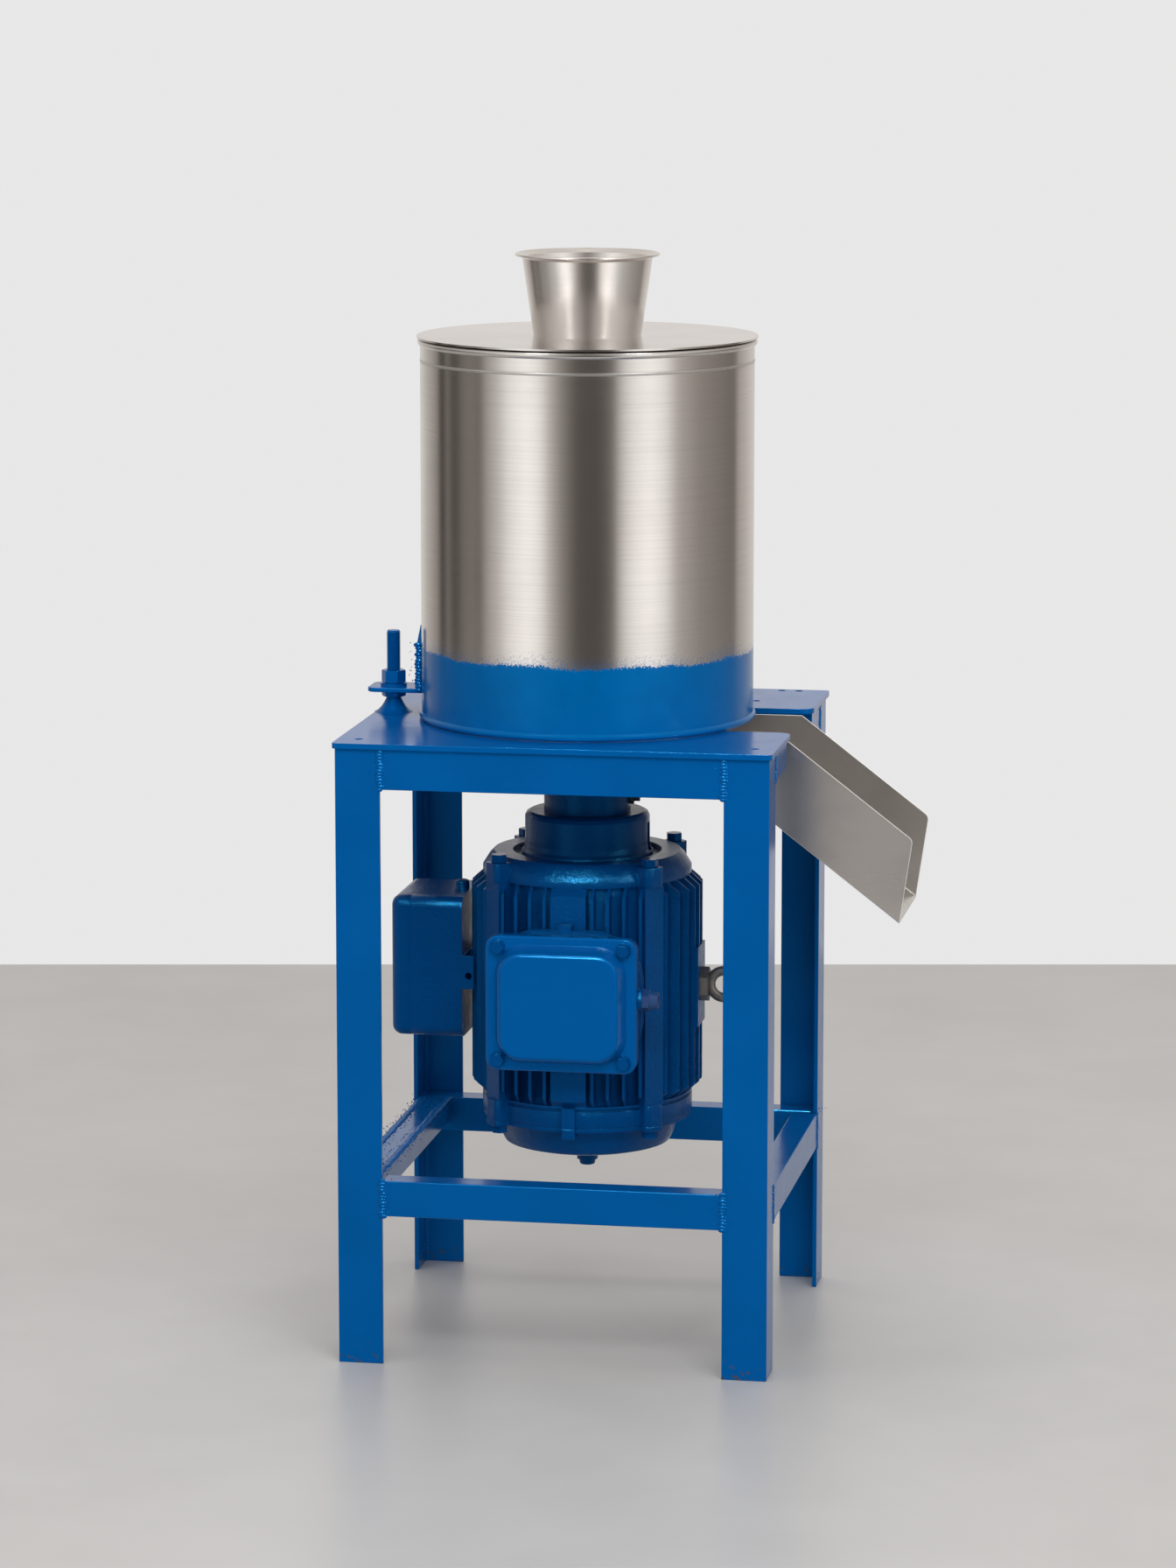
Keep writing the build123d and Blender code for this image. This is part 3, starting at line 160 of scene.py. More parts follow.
class FinishSettings(bpy.types.PropertyGroup):
    """Colours and surface detail of the machine."""

    blue: bpy.props.FloatVectorProperty(
        name="Enamel",
        description="Colour of the enamel on the stand and the drum's foot",
        subtype="COLOR",
        size=3,
        min=0,
        max=1,
        default=(0.0, 0.084, 0.308),
    )
    # The castings' enamel is set darker than the stand's, a painted shade for the recesses between
    # the fins and the shadow under the plate
    casting_shade_blue: bpy.props.FloatVectorProperty(
        name="Casting enamel",
        description="Colour of the enamel on the motor's castings",
        subtype="COLOR",
        size=3,
        min=0,
        max=1,
        default=(0.0, 0.05, 0.2),
    )
    steel: bpy.props.FloatVectorProperty(
        name="Stainless steel",
        description="Colour of the drum, the lid, the cup and the chute",
        subtype="COLOR",
        size=3,
        min=0,
        max=1,
        default=(0.7, 0.675, 0.65),
    )
    paint_line: bpy.props.FloatProperty(
        name="Paint line",
        description="Height above the floor at which the enamel on the drum ends",
        subtype="DISTANCE",
        unit="LENGTH",
        default=0.779,
    )
    orange_peel: bpy.props.FloatProperty(
        name="Orange peel",
        description="Depth of the ripple in the sprayed enamel",
        subtype="DISTANCE",
        unit="LENGTH",
        default=0.00012,
        precision=6,
    )


class WeldSettings(bpy.types.PropertyGroup):
    """Size of the weld beads on the stand and the bracket."""

    bead: bpy.props.FloatProperty(
        name="Bead",
        description="Half the width of a weld bead",
        subtype="DISTANCE",
        unit="LENGTH",
        default=0.0036,
    )
    pitch: bpy.props.FloatProperty(
        name="Pitch",
        description="Distance between the ripples of a weld bead",
        subtype="DISTANCE",
        unit="LENGTH",
        default=0.0034,
    )
    spatter: bpy.props.FloatProperty(
        name="Spatter",
        description="Share of the ripples that threw a fleck to each side",
        min=0,
        max=1,
        default=0.7,
    )


class ThreadSettings(bpy.types.PropertyGroup):
    """Thread of the adjuster stud."""

    pitch: bpy.props.FloatProperty(
        name="Pitch",
        description="Lead of the stud's thread",
        subtype="DISTANCE",
        unit="LENGTH",
        default=0.002,
    )
    depth: bpy.props.FloatProperty(
        name="Depth",
        description="Depth of the stud's thread",
        subtype="DISTANCE",
        unit="LENGTH",
        default=0.0012,
    )


class StudioSettings(bpy.types.PropertyGroup):
    """Floor, backdrop and lens."""

    floor: bpy.props.FloatVectorProperty(
        name="Floor",
        description="Colour of the pale concrete floor",
        subtype="COLOR",
        size=3,
        min=0,
        max=1,
        default=(0.47, 0.468, 0.463),
    )
    wall: bpy.props.FloatProperty(
        name="Backdrop",
        description="Brightness of the backdrop behind the machine",
        default=0.80,
    )
    lens: bpy.props.FloatProperty(
        name="Lens",
        description="Focal length of the camera",
        subtype="DISTANCE_CAMERA",
        unit="CAMERA",
        default=127.13,
    )


class Varying:
    """A value that changes over a surface; arithmetic on it adds Math nodes."""

    def __init__(self, finish, socket):
        self.finish = finish
        self.socket = socket

    def __add__(self, other):
        return self.finish.maths("ADD", self, other)

    def __radd__(self, other):
        return self.finish.maths("ADD", other, self)

    def __sub__(self, other):
        return self.finish.maths("SUBTRACT", self, other)

    def __rsub__(self, other):
        return self.finish.maths("SUBTRACT", other, self)

    def __mul__(self, other):
        return self.finish.maths("MULTIPLY", self, other)

    def __rmul__(self, other):
        return self.finish.maths("MULTIPLY", other, self)

    def above(self, low, high):
        """0 below low, 1 above high and smooth between them."""
        return self.finish.node(
            "ShaderNodeMapRange",
            {"interpolation_type": "SMOOTHSTEP"},
            {"Value": self, "From Min": low, "From Max": high},
        )

    def between(self, low, high, soft):
        """1 from low to high, falling to 0 over the width soft outside them."""
        return self.above(low - soft, low) * (1.0 - self.above(high, high + soft))


class Finish:
    """A material, with one method that makes every node in it."""

    library = "materials"
    coordinates = "Object"
    ending = "ShaderNodeOutputMaterial"

    def __init__(self, name):
        self.block = getattr(bpy.data, self.library).new(name)
        self.block.use_nodes = True
        self.tree = self.block.node_tree
        self.tree.nodes.clear()
        self.place = self.node("ShaderNodeTexCoord", output=self.coordinates)

    def node(self, kind, settings=None, inputs=None, output=0):
        """Adds a node; settings are set first, then the values or links of its inputs."""
        added = self.tree.nodes.new(kind)
        for name, value in (settings or {}).items():
            if name == "stops":
                stops = added.color_ramp.elements
                for spot, (position, colour) in enumerate(value):
                    if spot > 1:
                        stops.new(position)
                    stops[spot].position = position
                    stops[spot].color = colour
            else:
                setattr(added, name, value)
        for name, value in (inputs or {}).items():
            if isinstance(value, Varying):
                self.tree.links.new(value.socket, added.inputs[name])
            else:
                added.inputs[name].default_value = value
        return Varying(self, added.outputs[output]) if added.outputs else None

    def maths(self, operation, *values):
        """A Math node."""
        return self.node("ShaderNodeMath", {"operation": operation}, dict(enumerate(values)))

    def stretched(self, x, y, z):
        """The place on the piece with each axis scaled."""
        scaled = {0: self.place, 1: (x, y, z)}
        return self.node("ShaderNodeVectorMath", {"operation": "MULTIPLY"}, scaled)

    def noise(self, scale, detail=3.0, where=None, rough=0.5):
        """Soft clouds between 0 and 1."""
        return self.node(
            "ShaderNodeTexNoise",
            {"noise_dimensions": "3D"},
            {"Vector": where or self.place, "Scale": scale, "Detail": detail, "Roughness": rough},
        )

    def axis(self, name):
        """One coordinate of the place, in metres."""
        return self.node("ShaderNodeSeparateXYZ", None, {0: self.place}, output=name)

    def mix(self, amount, first, second):
        """Blends two colours, which are inputs 6 and 7 and output 2 of a Mix node."""
        inputs = {0: amount}
        for spot, colour in ((6, first), (7, second)):
            inputs[spot] = colour if isinstance(colour, Varying) else (*colour, 1.0)
        return self.node("ShaderNodeMix", {"data_type": "RGBA"}, inputs, output=2)

    def bump(self, height, depth, strength=1.0, normal=None):
        """Surface relief of the given depth in metres, on top of another where one is given."""
        inputs = {"Height": height, "Distance": depth, "Strength": strength}
        if normal:
            inputs["Normal"] = normal
        return self.node("ShaderNodeBump", None, inputs)

    def skin(self, **inputs):
        """A principled shader."""
        named = {name.replace("_", " "): value for name, value in inputs.items()}
        return self.node("ShaderNodeBsdfPrincipled", None, named)

    def finished(self, shader):
        """Links the shader to the output; returns the finished material or world."""
        self.node(self.ending, None, {"Surface": shader})
        return self.block

    def surface(self, **inputs):
        """A material of one principled shader."""
        return self.finished(self.skin(**inputs))


def shaded(colour, amount):
    """The colour made darker, or brighter where amount is over 1."""
    return tuple(channel * amount for channel in colour)


def enamel(name, colour, ripple, grain=0.0, grime=0.35, rough=0.13):
    """Sprayed gloss enamel: ripple, uneven film, dark chips and rust near the floor."""
    finish = Finish(name)
    cloud = finish.noise(9.0, 4.0)
    film = finish.noise(FILM_SCALE)
    peel = finish.noise(PEEL_SCALE, 2.0)
    speck = finish.noise(160.0, 5.0, rough=0.65)
    chip = (speck * 0.7 + finish.noise(11.0) * 0.3).above(0.655, 0.672)
    near_floor = 1.0 - finish.axis("Z").above(0.0, 0.05)
    scuff = (speck + near_floor * 0.12).above(0.68, 0.72) * near_floor * 0.8
    uneven = finish.mix(cloud.above(0.35, 0.7) * grime, colour, shaded(colour, 0.78))
    uneven = finish.mix(film.above(0.55, 0.8) * 0.25, uneven, shaded(colour, 1.1))
    chipped = finish.mix(chip * 0.55, uneven, shaded(colour, 0.35))
    pits = finish.noise(150.0, 5.0, rough=0.7) + finish.noise(46.0) * 0.6
    relief = finish.bump(peel * 0.35 + film * 1.6 + grain * pits * 6.0, ripple)
    return finish.surface(
        Base_Color=finish.mix(scuff, chipped, RUST),
        Roughness=rough + film * 0.12 + (chip + scuff) * 0.25,
        Normal=finish.bump(1.0 - chip, ripple * 1.5, 0.6, relief),
        Specular_IOR_Level=GLOSS_LEVEL,
        Specular_Tint=GLOSS_TINT,
    )


def brushed(finish, colour, lines, rough=0.08, relief=0.8):
    """Base colour, roughness and normal of brushed stainless steel with smears and scratches."""
    red, green, blue = colour
    warm = (red * 0.95, green * 0.88, blue * 0.8)
    brush = finish.noise(1.0, 4.0, finish.stretched(*lines), 0.7)
    coarse = finish.noise(1.0, 2.0, finish.stretched(*(value * 0.22 for value in lines)))
    smear = finish.noise(7.0, 5.0, rough=0.6)
    patch = finish.noise(2.6)
    base = finish.mix(smear.above(0.35, 0.75) * 0.35, colour, shaded(colour, 0.82))
    base = finish.mix(patch.above(0.45, 0.75) * 0.3, base, warm)
    base = finish.mix(brush.above(0.3, 0.8) * 0.25, base, shaded(colour, 0.7))
    gloss = rough + smear * 0.1 + brush * 0.06 + coarse * 0.03
    return base, gloss, finish.bump(brush + coarse * 0.6, BRUSH_DEPTH, relief)


def stainless(name, colour, rough=0.08):
    """Stainless sheet brushed round the machine's axis."""
    finish = Finish(name)
    base, gloss, normal = brushed(finish, colour, ROUND_BRUSH, rough)
    return finish.surface(Base_Color=base, Roughness=gloss, Normal=normal, Metallic=1.0)


def chute_skin(name, colour):
    """Folded stainless sheet whose ground cut edges are painted near white, which also paints a
    highlight along them.
    """
    finish = Finish(name)
    base, gloss, normal = brushed(finish, colour, CHUTE_BRUSH, 0.16, 0.28)
    stain = finish.noise(14.0, 4.0, rough=0.6)
    base = finish.mix(stain.above(0.45, 0.75) * 0.5, base, shaded(colour, 0.72))
    low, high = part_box("chute")
    across = finish.maths("ABSOLUTE", finish.axis("Y") - (low.y + high.y) / 2)
    outer = (high.y - low.y) / 2
    cut = across.between(outer - 0.0016, outer - 0.0004, 0.0002)
    return finish.surface(
        Base_Color=finish.mix(cut, base, GROUND_EDGE_HIGHLIGHT),
        Roughness=gloss * (1.0 - cut) + 0.45 * cut,
        Normal=normal,
        Metallic=0.92 - cut * 0.92,
    )


def drum_skin(name, colour, paint, line, ripple):
    """Stainless drum whose foot is sprayed with enamel up to a wavy, speckled line."""
    finish = Finish(name)
    base, gloss, normal = brushed(finish, colour, ROUND_BRUSH)
    height = finish.axis("Z")
    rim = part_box("drum_shell")[1].z
    # The steel turns dark in a narrow band just below the rim, under the lid's edge
    joint = height.above(rim - 0.003, rim - 0.0012) * 0.85
    swage = rim - SWAGE_DROP
    # Along the pressed line the steel is darkened, a painted shade in the groove, and made rougher
    pressed = height.between(swage - SWAGE_HALF_WIDTH, swage + SWAGE_HALF_WIDTH, 0.0012)
    base = finish.mix(joint, base, RIM_BAND_DARK)
    steel = finish.skin(
        Base_Color=finish.mix(pressed * 0.4, base, shaded(colour, 0.5)),
        Roughness=gloss + pressed * 0.1,
        Normal=normal,
        Metallic=1.0,
    )

    wave = finish.noise(13.0) - 0.5
    speckle = finish.noise(520.0, 2.0) - 0.5
    drift = finish.noise(60.0) - 0.5
    edge = height - line + wave * 0.012 + drift * 0.004 + speckle * 0.009
    painted = 1.0 - edge.above(-0.0016, 0.0016)
    mist = (1.0 - (height - line + wave * 0.02 + speckle * 0.06).above(-0.004, 0.012)) * 0.3
    film = finish.noise(FILM_SCALE)
    peel = finish.noise(PEEL_SCALE, 2.0) * 0.3 + film * 1.4 + painted * 1.2
    coat = finish.skin(
        Base_Color=finish.mix(film.above(0.35, 0.75) * 0.4, paint, shaded(paint, 0.8)),
        Roughness=0.16 + film * 0.1,
        Normal=finish.bump(peel, ripple),
        Specular_IOR_Level=GLOSS_LEVEL,
        Specular_Tint=GLOSS_TINT,
    )
    cover = finish.node("ShaderNodeClamp", None, {"Value": painted + mist})
    return finish.finished(finish.node("ShaderNodeMixShader", None, {0: cover, 1: steel, 2: coat}))


def bare_metal(name, colour, rough, scale, metallic=0.9):
    """Ground, cast or plated metal with stains."""
    finish = Finish(name)
    cloud = finish.noise(scale, 5.0, rough=0.6)
    fine = finish.noise(scale * 9.0)
    base = finish.mix(cloud.above(0.35, 0.75) * 0.6, colour, shaded(colour, 0.6))
    return finish.surface(
        Base_Color=finish.mix((cloud + fine * 0.4).above(0.78, 0.95) * 0.6, base, STAIN),
        Roughness=rough + cloud * 0.2,
        Normal=finish.bump(fine + cloud, 0.00015, 0.7),
        Metallic=metallic,
    )


def moulded(name, colour, rough):
    """Plastic or rubber with a fine moulded grain."""
    finish = Finish(name)
    cloud = finish.noise(14.0)
    return finish.surface(
        Base_Color=finish.mix(cloud.above(0.3, 0.7) * 0.5, colour, shaded(colour, 0.7)),
        Roughness=rough + cloud * 0.15,
        Normal=finish.bump(finish.noise(300.0), 0.00008, 0.6),
    )


def millstone(name):
    """Coarse abrasive stone with dark and pale grains and open pores."""
    finish = Finish(name)
    cells = {"Vector": finish.place, "Scale": 420.0}
    grains = finish.node("ShaderNodeTexVoronoi", {"feature": "F1"}, cells)
    tint = finish.noise(160.0, 4.0)
    base = finish.mix(tint.above(0.35, 0.65), (0.42, 0.39, 0.34), (0.2, 0.185, 0.165))
    return finish.surface(
        Base_Color=finish.mix(grains.above(0.3, 0.6) * 0.7, base, (0.6, 0.57, 0.52)),
        Roughness=0.85 + tint * 0.1,
        Normal=finish.bump(grains + tint, 0.0006, 0.9),
    )


def concrete(name, colour):
    """Pale sealed concrete: soft blotches, faint trowel marks and a dull shine."""
    finish = Finish(name)
    blotch = finish.noise(1.6, 5.0, rough=0.6)
    mottle = finish.noise(9.0, 4.0)
    base = finish.mix(blotch.above(0.3, 0.75) * 0.45, colour, shaded(colour, 0.84))
    return finish.surface(
        Base_Color=finish.mix(mottle.above(0.4, 0.8) * 0.2, base, shaded(colour, 1.12)),
        Roughness=0.3 + blotch * 0.14,
        Normal=finish.bump(mottle + finish.noise(60.0) * 0.2, 0.0004, 0.35),
        Specular_IOR_Level=0.5,
    )


class Surroundings(Finish):
    """A world: the light that comes from all round the machine."""

    library = "worlds"
    coordinates = "Generated"
    ending = "ShaderNodeOutputWorld"

    def towards(self, x, y):
        """How far each direction leans towards a level one."""
        ways = {0: self.place, 1: (x, y, 0.0)}
        return self.node("ShaderNodeVectorMath", {"operation": "DOT_PRODUCT"}, ways, "Value")

    def panels(self, turn, levels):
        """Brightness by the angle round the machine; dark parts are warm."""
        stops = []
        for angle, level in levels:
            tint = min(1.0, level)
            colour = (level, level * (0.88 + 0.1 * tint), level * (0.79 + 0.17 * tint), 1.0)
            stops.append(((angle + 180) / 360, colour))
        return self.node("ShaderNodeValToRGB", {"stops": stops}, {"Fac": turn})


def surroundings(name, wall):
    """Bright and dark panels round the machine; the camera sees a plain pale wall."""
    air = Surroundings(name)
    right = air.towards(cos(FACE_TURN), sin(FACE_TURN))
    front = air.towards(sin(FACE_TURN), -cos(FACE_TURN))
    turn = air.maths("ARCTAN2", right, front) * (0.5 / pi) + 0.5
    up = air.axis("Z").above(-0.02, 0.03)
    level = air.mix(up, air.panels(turn, LOW_PANELS), air.panels(turn, HIGH_PANELS))
    seen = air.node("ShaderNodeLightPath", output="Is Camera Ray")
    colour = air.mix(seen, level, (wall, wall, wall))
    return air.finished(air.node("ShaderNodeBackground", None, {"Color": colour}))


def dress(node, material):
    """Gives a carried-over piece its finish."""
    for spot in frame["nodes"][node].material_slots:
        spot.material = material


def round_edges(node, width):
    """Welds a carried-over piece's facets and rounds its sharp edges."""
    piece = frame["nodes"][node]
    weld = piece.modifiers.new("Weld", "WELD")
    weld.merge_threshold = 0.00001
    dissolve = piece.modifiers.new("Flatten", "DECIMATE")
    dissolve.decimate_type = "DISSOLVE"
    dissolve.angle_limit = radians(0.6)
    bevel = piece.modifiers.new("Edges", "BEVEL")
    bevel.limit_method = "ANGLE"
    bevel.angle_limit = radians(35)
    bevel.width = width
    bevel.segments = 2


def add_object(name, data):
    """Puts a mesh, a lamp or a camera into the scene."""
    added = bpy.data.objects.new(name, data)
    bpy.context.scene.collection.objects.link(added)
    return added


def add_mesh(bm, name, material):
    """Turns a bmesh into an object in the scene."""
    mesh = bpy.data.meshes.new(name)
    bm.to_mesh(mesh)
    bm.free()
    mesh.materials.append(material)
    return add_object(name, mesh)


def finish_mesh(bm, name, body, slot, crease):
    """Turns a bmesh into a piece of the machine that rides on a body."""
    bmesh.ops.recalc_face_normals(bm, faces=bm.faces)
    for face in bm.faces:
        face.smooth = True
    for edge in bm.edges:
        sharp = len(edge.link_faces) == 2 and edge.calc_face_angle(0.0) > radians(crease)
        edge.smooth = not sharp
    piece = add_mesh(bm, name, finishes[slot])
    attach(piece, body)
    return piece


def spin_line(bm, points, middle, **turning):
    """Joins the points by edges and spins the line about the upright axis at middle."""
    line = [bm.verts.new(point) for point in points]
    edges = [bm.edges.new(pair) for pair in zip(line, line[1:])]
    bmesh.ops.spin(bm, geom=line + edges, cent=(middle, 0, 0), axis=(0, 0, 1), **turning)


def lay_bead(bm, start, end, outwards, look):
    """A rippled weld run from start to end, flat along outwards, with spatter on both sides."""
    start, end, outwards = Vector(start), Vector(end), Vector(outwards)
    run = end - start
    along = run.normalized()
    across = along.cross(outwards)
    facing = Matrix((along, across, outwards)).transposed().to_4x4()
    count = max(2, int(run.length / look.pitch))
    for step in range(count + 1):
        spot = start + run * step / count
        size = look.bead * (0.85 + 0.3 * noise.random())
        shift = across * look.bead * 0.5 * (noise.random() - 0.5)
        place = Matrix.Translation(spot + shift) @ facing @ Matrix.Diagonal(RIPPLE_SHAPE)
        bmesh.ops.create_icosphere(bm, subdivisions=2, radius=size, matrix=place)
        for side in (-1, 1):
            if noise.random() < look.spatter:
                stray = across * side * look.bead * (1.0 + 2.2 * noise.random())
                ahead = along * look.pitch * noise.random()
                fleck = 0.0004 + 0.0006 * noise.random()
                place = Matrix.Translation(spot + stray + ahead)
                bmesh.ops.create_icosphere(bm, subdivisions=1, radius=fleck, matrix=place)


def stand_seams():
    """Start, end and outward direction of each bead on the stand."""
    for rail in ("top_rail_front", "top_rail_rear", "lower_rail_front"):
        low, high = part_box(rail)
        face, way = (low.y, -1) if "front" in rail else (high.y, 1)
        for x in (low.x, high.x):
            yield (x, face, low.z), (x, face, high.z), (0, way, 0)
    for rail in ("top_rail_left", "top_rail_right", "lower_rail_right"):
        low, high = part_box(rail)
        face, way = (low.x, -1) if "left" in rail else (high.x, 1)
        for y in (low.y, high.y):
            yield (face, y, low.z), (face, y, high.z), (way, 0, 0)
    for rail in ("lower_rail_rear", "lower_rail_left"):
        low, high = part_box(rail)
        for x in (low.x, high.x):
            yield (x, low.y, high.z), (x, high.y, high.z), (0, 0, 1)


def bracket_seams():
    """Start, end and outward direction of each bead between the bracket and the drum."""
    low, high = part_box("adjuster_bracket")
    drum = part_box("drum_shell")[0].x
    for y in (low.y, high.y):
        reach = drum * cos(y / -drum) - 0.001
        yield (reach, y, low.z + 0.004), (reach, y, high.z - 0.02), (0, 1 if y > 0 else -1, 0)


# The finishes by the record's material slots, and a few by names of their own
finishes = {}


class GRINDER_OT_finishes(bpy.types.Operator):
    """Mix the finishes and put them on the carried-over pieces"""

    bl_idname = "grinder.finishes"
    bl_label = "Finishes"

    def execute(self, context):
        look = context.scene.grinder_finish
        blue = tuple(look.blue)
        # The darker blue of the castings and fasteners, which holds painted shade
        deep = tuple(look.casting_shade_blue)
        steel = tuple(look.steel)
        peel = look.orange_peel
        # The enamel on the drum's foot is a little greener than the stand's
        foot_blue = (blue[0], blue[1] * 1.24, blue[2] * 1.04)
        # The neck and the adaptor get the casting blue darkened further, a painted shade for the
        # shadow under the plate
        neck_shaded_blue = shaded(deep, 0.7)
        finishes.update(
            blue_paint=enamel("stand_enamel", blue, peel),
            painted_casting=enamel(
                "casting_enamel", deep, peel * 2.0, grain=0.7, grime=0.5, rough=0.14
            ),
            neck_enamel=enamel(
                "neck_enamel", neck_shaded_blue, peel * 2.0, grain=0.4, grime=0.5, rough=0.16
            ),
            cover_enamel=enamel(
                "cover_enamel", blue, peel * 1.4, grain=0.12, grime=0.25, rough=0.1
            ),
            painted_fastener=enamel(
                "fastener_enamel", deep, peel * 1.5, grain=0.15, grime=0.4, rough=0.12
            ),
            drum_sheet=drum_skin("drum_skin", steel, foot_blue, look.paint_line, peel),
            stainless_sheet=stainless("brushed_sheet", steel),
            chute_sheet=chute_skin("chute_sheet", steel),
            # The cup's steel is lighter than the other sheet, a painted sheen for the brighter
            # reflections on it
            cup_sheet=stainless("cup_sheet", shaded(steel, 1.24), rough=0.13),
            # The photograph shows the nuts and the stud painted over
            plated_fastener=enamel("nut_enamel", blue, peel),
            bare_stud=enamel("stud_enamel", blue, peel),
            bare_casting=bare_metal("forged_steel", (0.25, 0.24, 0.23), 0.35, 60.0),
            dark_plastic=moulded("dark_plastic", (0.01, 0.05, 0.17), 0.35),
            dark_steel=bare_metal("dark_steel", (0.05, 0.055, 0.07), 0.4, 90.0),
            seal_rubber=moulded("seal_rubber", (0.02, 0.02, 0.022), 0.6),
            grinding_stone=millstone("millstone"),
            ground_steel=bare_metal("ground_steel", (0.55, 0.54, 0.52), 0.25, 40.0, metallic=1.0),
            copper_wire=bare_metal("winding_copper", (0.55, 0.24, 0.1), 0.35, 70.0),
            capacitor_can=moulded("capacitor_can", (0.5, 0.5, 0.5), 0.4),
        )
        for entry in frame["record"]["subparts"]:
            dress(entry["node"], finishes[entry["material_slot"]])
        dress("chute", finishes["chute_sheet"])
        dress("feed_cup", finishes["cup_sheet"])
        dress("terminal_cover", finishes["cover_enamel"])
        dress("bearing_housing", finishes["neck_enamel"])
        dress("motor_adaptor", finishes["neck_enamel"])
        return {"FINISHED"}


class GRINDER_OT_edges(bpy.types.Operator):
    """Round the edges of the carried-over pieces"""

    bl_idname = "grinder.edges"
    bl_label = "Rounded edges"

    def execute(self, context):
        for width, starts in ROUNDED:
            for node in frame["nodes"]:
                if node.startswith(starts):
                    round_edges(node, width)
        return {"FINISHED"}


class GRINDER_OT_welds(bpy.types.Operator):
    """Lay the weld beads on the stand and on the drum's bracket"""

    bl_idname = "grinder.welds"
    bl_label = "Welds"

    def weld(self, name, body, seams, look):
        """One piece of all beads that ride on a body."""
        bm = bmesh.new()
        for start, end, outwards in seams:
            lay_bead(bm, start, end, outwards, look)
        finish_mesh(bm, name, body, "blue_paint", crease=60)

    def execute(self, context):
        look = context.scene.grinder_weld
        noise.seed_set(7)
        self.weld("stand_welds", "stand", stand_seams(), look)
        self.weld("bracket_weld", "drum", bracket_seams(), look)
        return {"FINISHED"}


class GRINDER_OT_thread(bpy.types.Operator):
    """Cut the thread on the adjuster stud and flare its welded foot"""

    bl_idname = "grinder.thread"
    bl_label = "Stud thread"

    def execute(self, context):
        look = context.scene.grinder_thread
        low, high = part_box("adjuster_stud")
        middle = (low.x + high.x) / 2
        core = STUD_RADIUS - look.depth
        start = low.z + THREAD_START
        turns = int((high.z - start) / look.pitch) - 1
        ridge = ((core, 0.0), (STUD_RADIUS, 0.42), (STUD_RADIUS, 0.58), (core, 1.0))
        bm = bmesh.new()
        spin_line(
            bm,
            [(middle + reach, 0, start + look.pitch * share) for reach, share in ridge],
            middle,
            dvec=(0, 0, look.pitch / THREAD_SIDES),
            angle=2 * pi * turns,
            steps=THREAD_SIDES * turns,
        )
        bmesh.ops.remove_doubles(bm, verts=bm.verts, dist=0.000005)
        bmesh.ops.create_cone(
            bm,
            cap_ends=True,
            segments=THREAD_SIDES,
            radius1=core,
            radius2=core,
            depth=high.z - low.z,
            matrix=Matrix.Translation((middle, 0, (low.z + high.z) / 2)),
        )
        foot = (high.x - low.x) / 2
        spin_line(
            bm,
            [(middle + foot * share, 0, low.z + rise) for share, rise in FLARE],
            middle,
            angle=2 * pi,
            steps=48,
            use_merge=True,
        )
        piece = finish_mesh(bm, "threaded_stud", "stand", "bare_stud", crease=50)
        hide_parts("adjuster_stud")
        return {"FINISHED"}


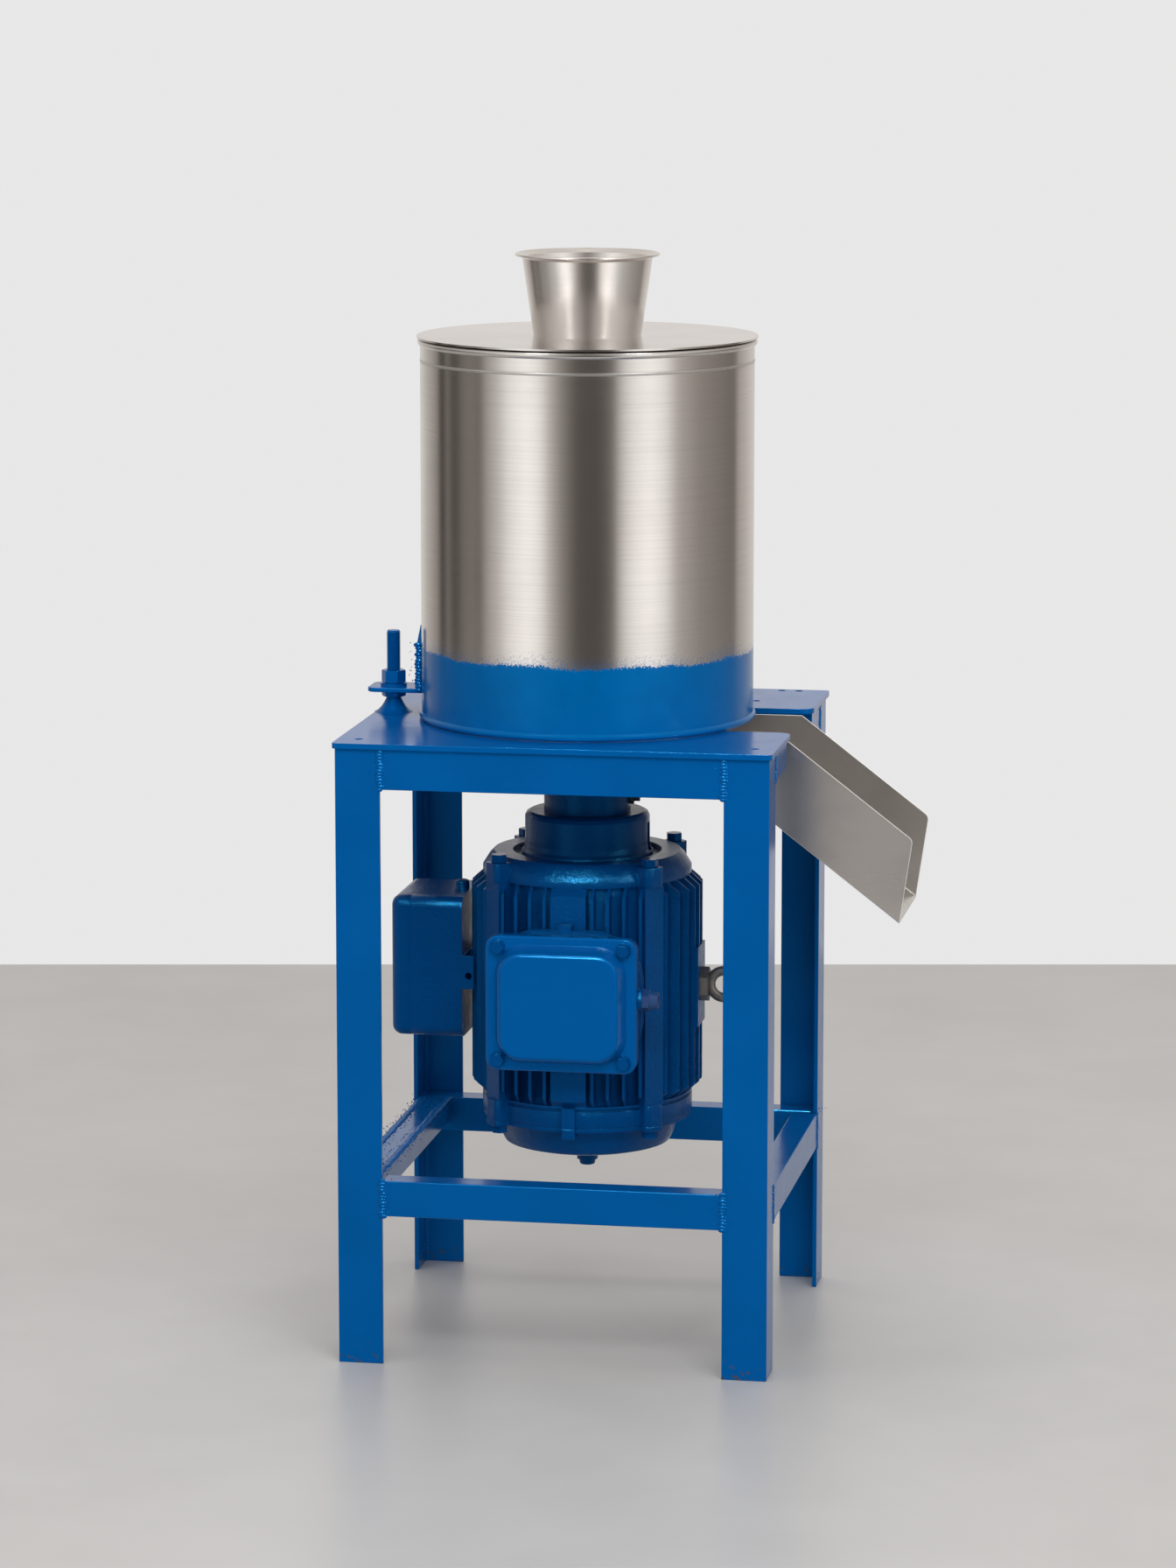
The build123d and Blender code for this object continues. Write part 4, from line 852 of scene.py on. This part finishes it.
class GRINDER_OT_studio(bpy.types.Operator):
    """Build the floor, the backdrop, the lamps and the camera"""

    bl_idname = "grinder.studio"
    bl_label = "Studio"

    def lamp(self, name, turn, distance, height, width, tall, power, aim, **visible):
        """A rectangular lamp; visible says which kinds of ray it is hidden from."""
        angle = -pi / 2 + FACE_TURN + radians(turn)
        place = Vector((cos(angle) * distance, sin(angle) * distance, height))
        data = bpy.data.lights.new(name, "AREA")
        data.shape = "RECTANGLE"
        data.size = width
        data.size_y = tall
        data.energy = power
        lamp = add_object(name, data)
        lamp.location = place
        lamp.rotation_euler = (Vector((0, 0, aim)) - place).to_track_quat("-Z", "Y").to_euler()
        for setting, value in visible.items():
            setattr(lamp, setting, value)
        return lamp

    def painted_pieces(self):
        """The enamelled pieces, which alone catch the small bright lamps."""
        painted = bpy.data.collections.new("painted_pieces")
        for piece in bpy.data.objects:
            if piece.type == "MESH":
                if any("enamel" in skin.name for skin in piece.data.materials if skin):
                    painted.objects.link(piece)
        return painted

    def execute(self, context):
        look = context.scene.grinder_studio
        bm = bmesh.new()
        bmesh.ops.create_grid(bm, x_segments=1, y_segments=1, size=1.0)
        bmesh.ops.scale(bm, vec=FLOOR_REACH, verts=bm.verts)
        turned = Matrix.Rotation(FACE_TURN, 3, "Z")
        bmesh.ops.rotate(bm, cent=(0, 0, 0), matrix=turned, verts=bm.verts)
        add_mesh(bm, "floor", concrete("pale_concrete", tuple(look.floor)))

        for name, lamp in SOFTBOXES.items():
            self.lamp(name, **lamp, visible_glossy=False)
        for name, lamp in GLINTS.items():
            self.lamp(name, **lamp, visible_diffuse=False)
        painted = self.painted_pieces()
        for name, lamp in PAINT_GLINTS.items():
            glint = self.lamp(name, **lamp, visible_diffuse=False)
            glint.light_linking.receiver_collection = painted
        bpy.context.scene.world = surroundings("studio_air", look.wall)

        data = bpy.data.cameras.new("camera")
        data.sensor_fit = "AUTO"
        data.sensor_width = 36.0
        data.lens = look.lens
        camera = add_object("camera", data)
        camera.location = CAMERA_PLACE
        camera.rotation_euler = (radians(90 - CAMERA_DIP), 0, FACE_TURN)
        bpy.context.scene.camera = camera
        bpy.context.scene.view_settings.view_transform = "Standard"
        return {"FINISHED"}


SETTINGS = {
    "grinder_finish": FinishSettings,
    "grinder_weld": WeldSettings,
    "grinder_thread": ThreadSettings,
    "grinder_studio": StudioSettings,
}
STEPS = (
    GRINDER_OT_finishes,
    GRINDER_OT_edges,
    GRINDER_OT_welds,
    GRINDER_OT_thread,
    GRINDER_OT_studio,
)


class GRINDER_PT_panel(bpy.types.Panel):
    """Lists the machine's settings and operators"""

    bl_idname = "GRINDER_PT_panel"
    bl_label = "Peanut grinder"
    bl_space_type = "VIEW_3D"
    bl_region_type = "UI"
    bl_category = "Grinder"

    def draw(self, context):
        for name, kind in SETTINGS.items():
            for setting in kind.__annotations__:
                self.layout.prop(getattr(context.scene, name), setting)
        for step in STEPS:
            self.layout.operator(step.bl_idname)


def register():
    for kind in (*SETTINGS.values(), *STEPS, GRINDER_PT_panel):
        bpy.utils.register_class(kind)
    for name, kind in SETTINGS.items():
        setattr(bpy.types.Scene, name, bpy.props.PointerProperty(type=kind))


def unregister():
    for name in SETTINGS:
        delattr(bpy.types.Scene, name)
    for kind in reversed((*SETTINGS.values(), *STEPS, GRINDER_PT_panel)):
        bpy.utils.unregister_class(kind)


def main():
    register()
    bpy.ops.grinder.finishes()
    bpy.ops.grinder.edges()
    bpy.ops.grinder.welds()
    bpy.ops.grinder.thread()
    bpy.ops.grinder.studio()


if __name__ == "__main__":
    main()
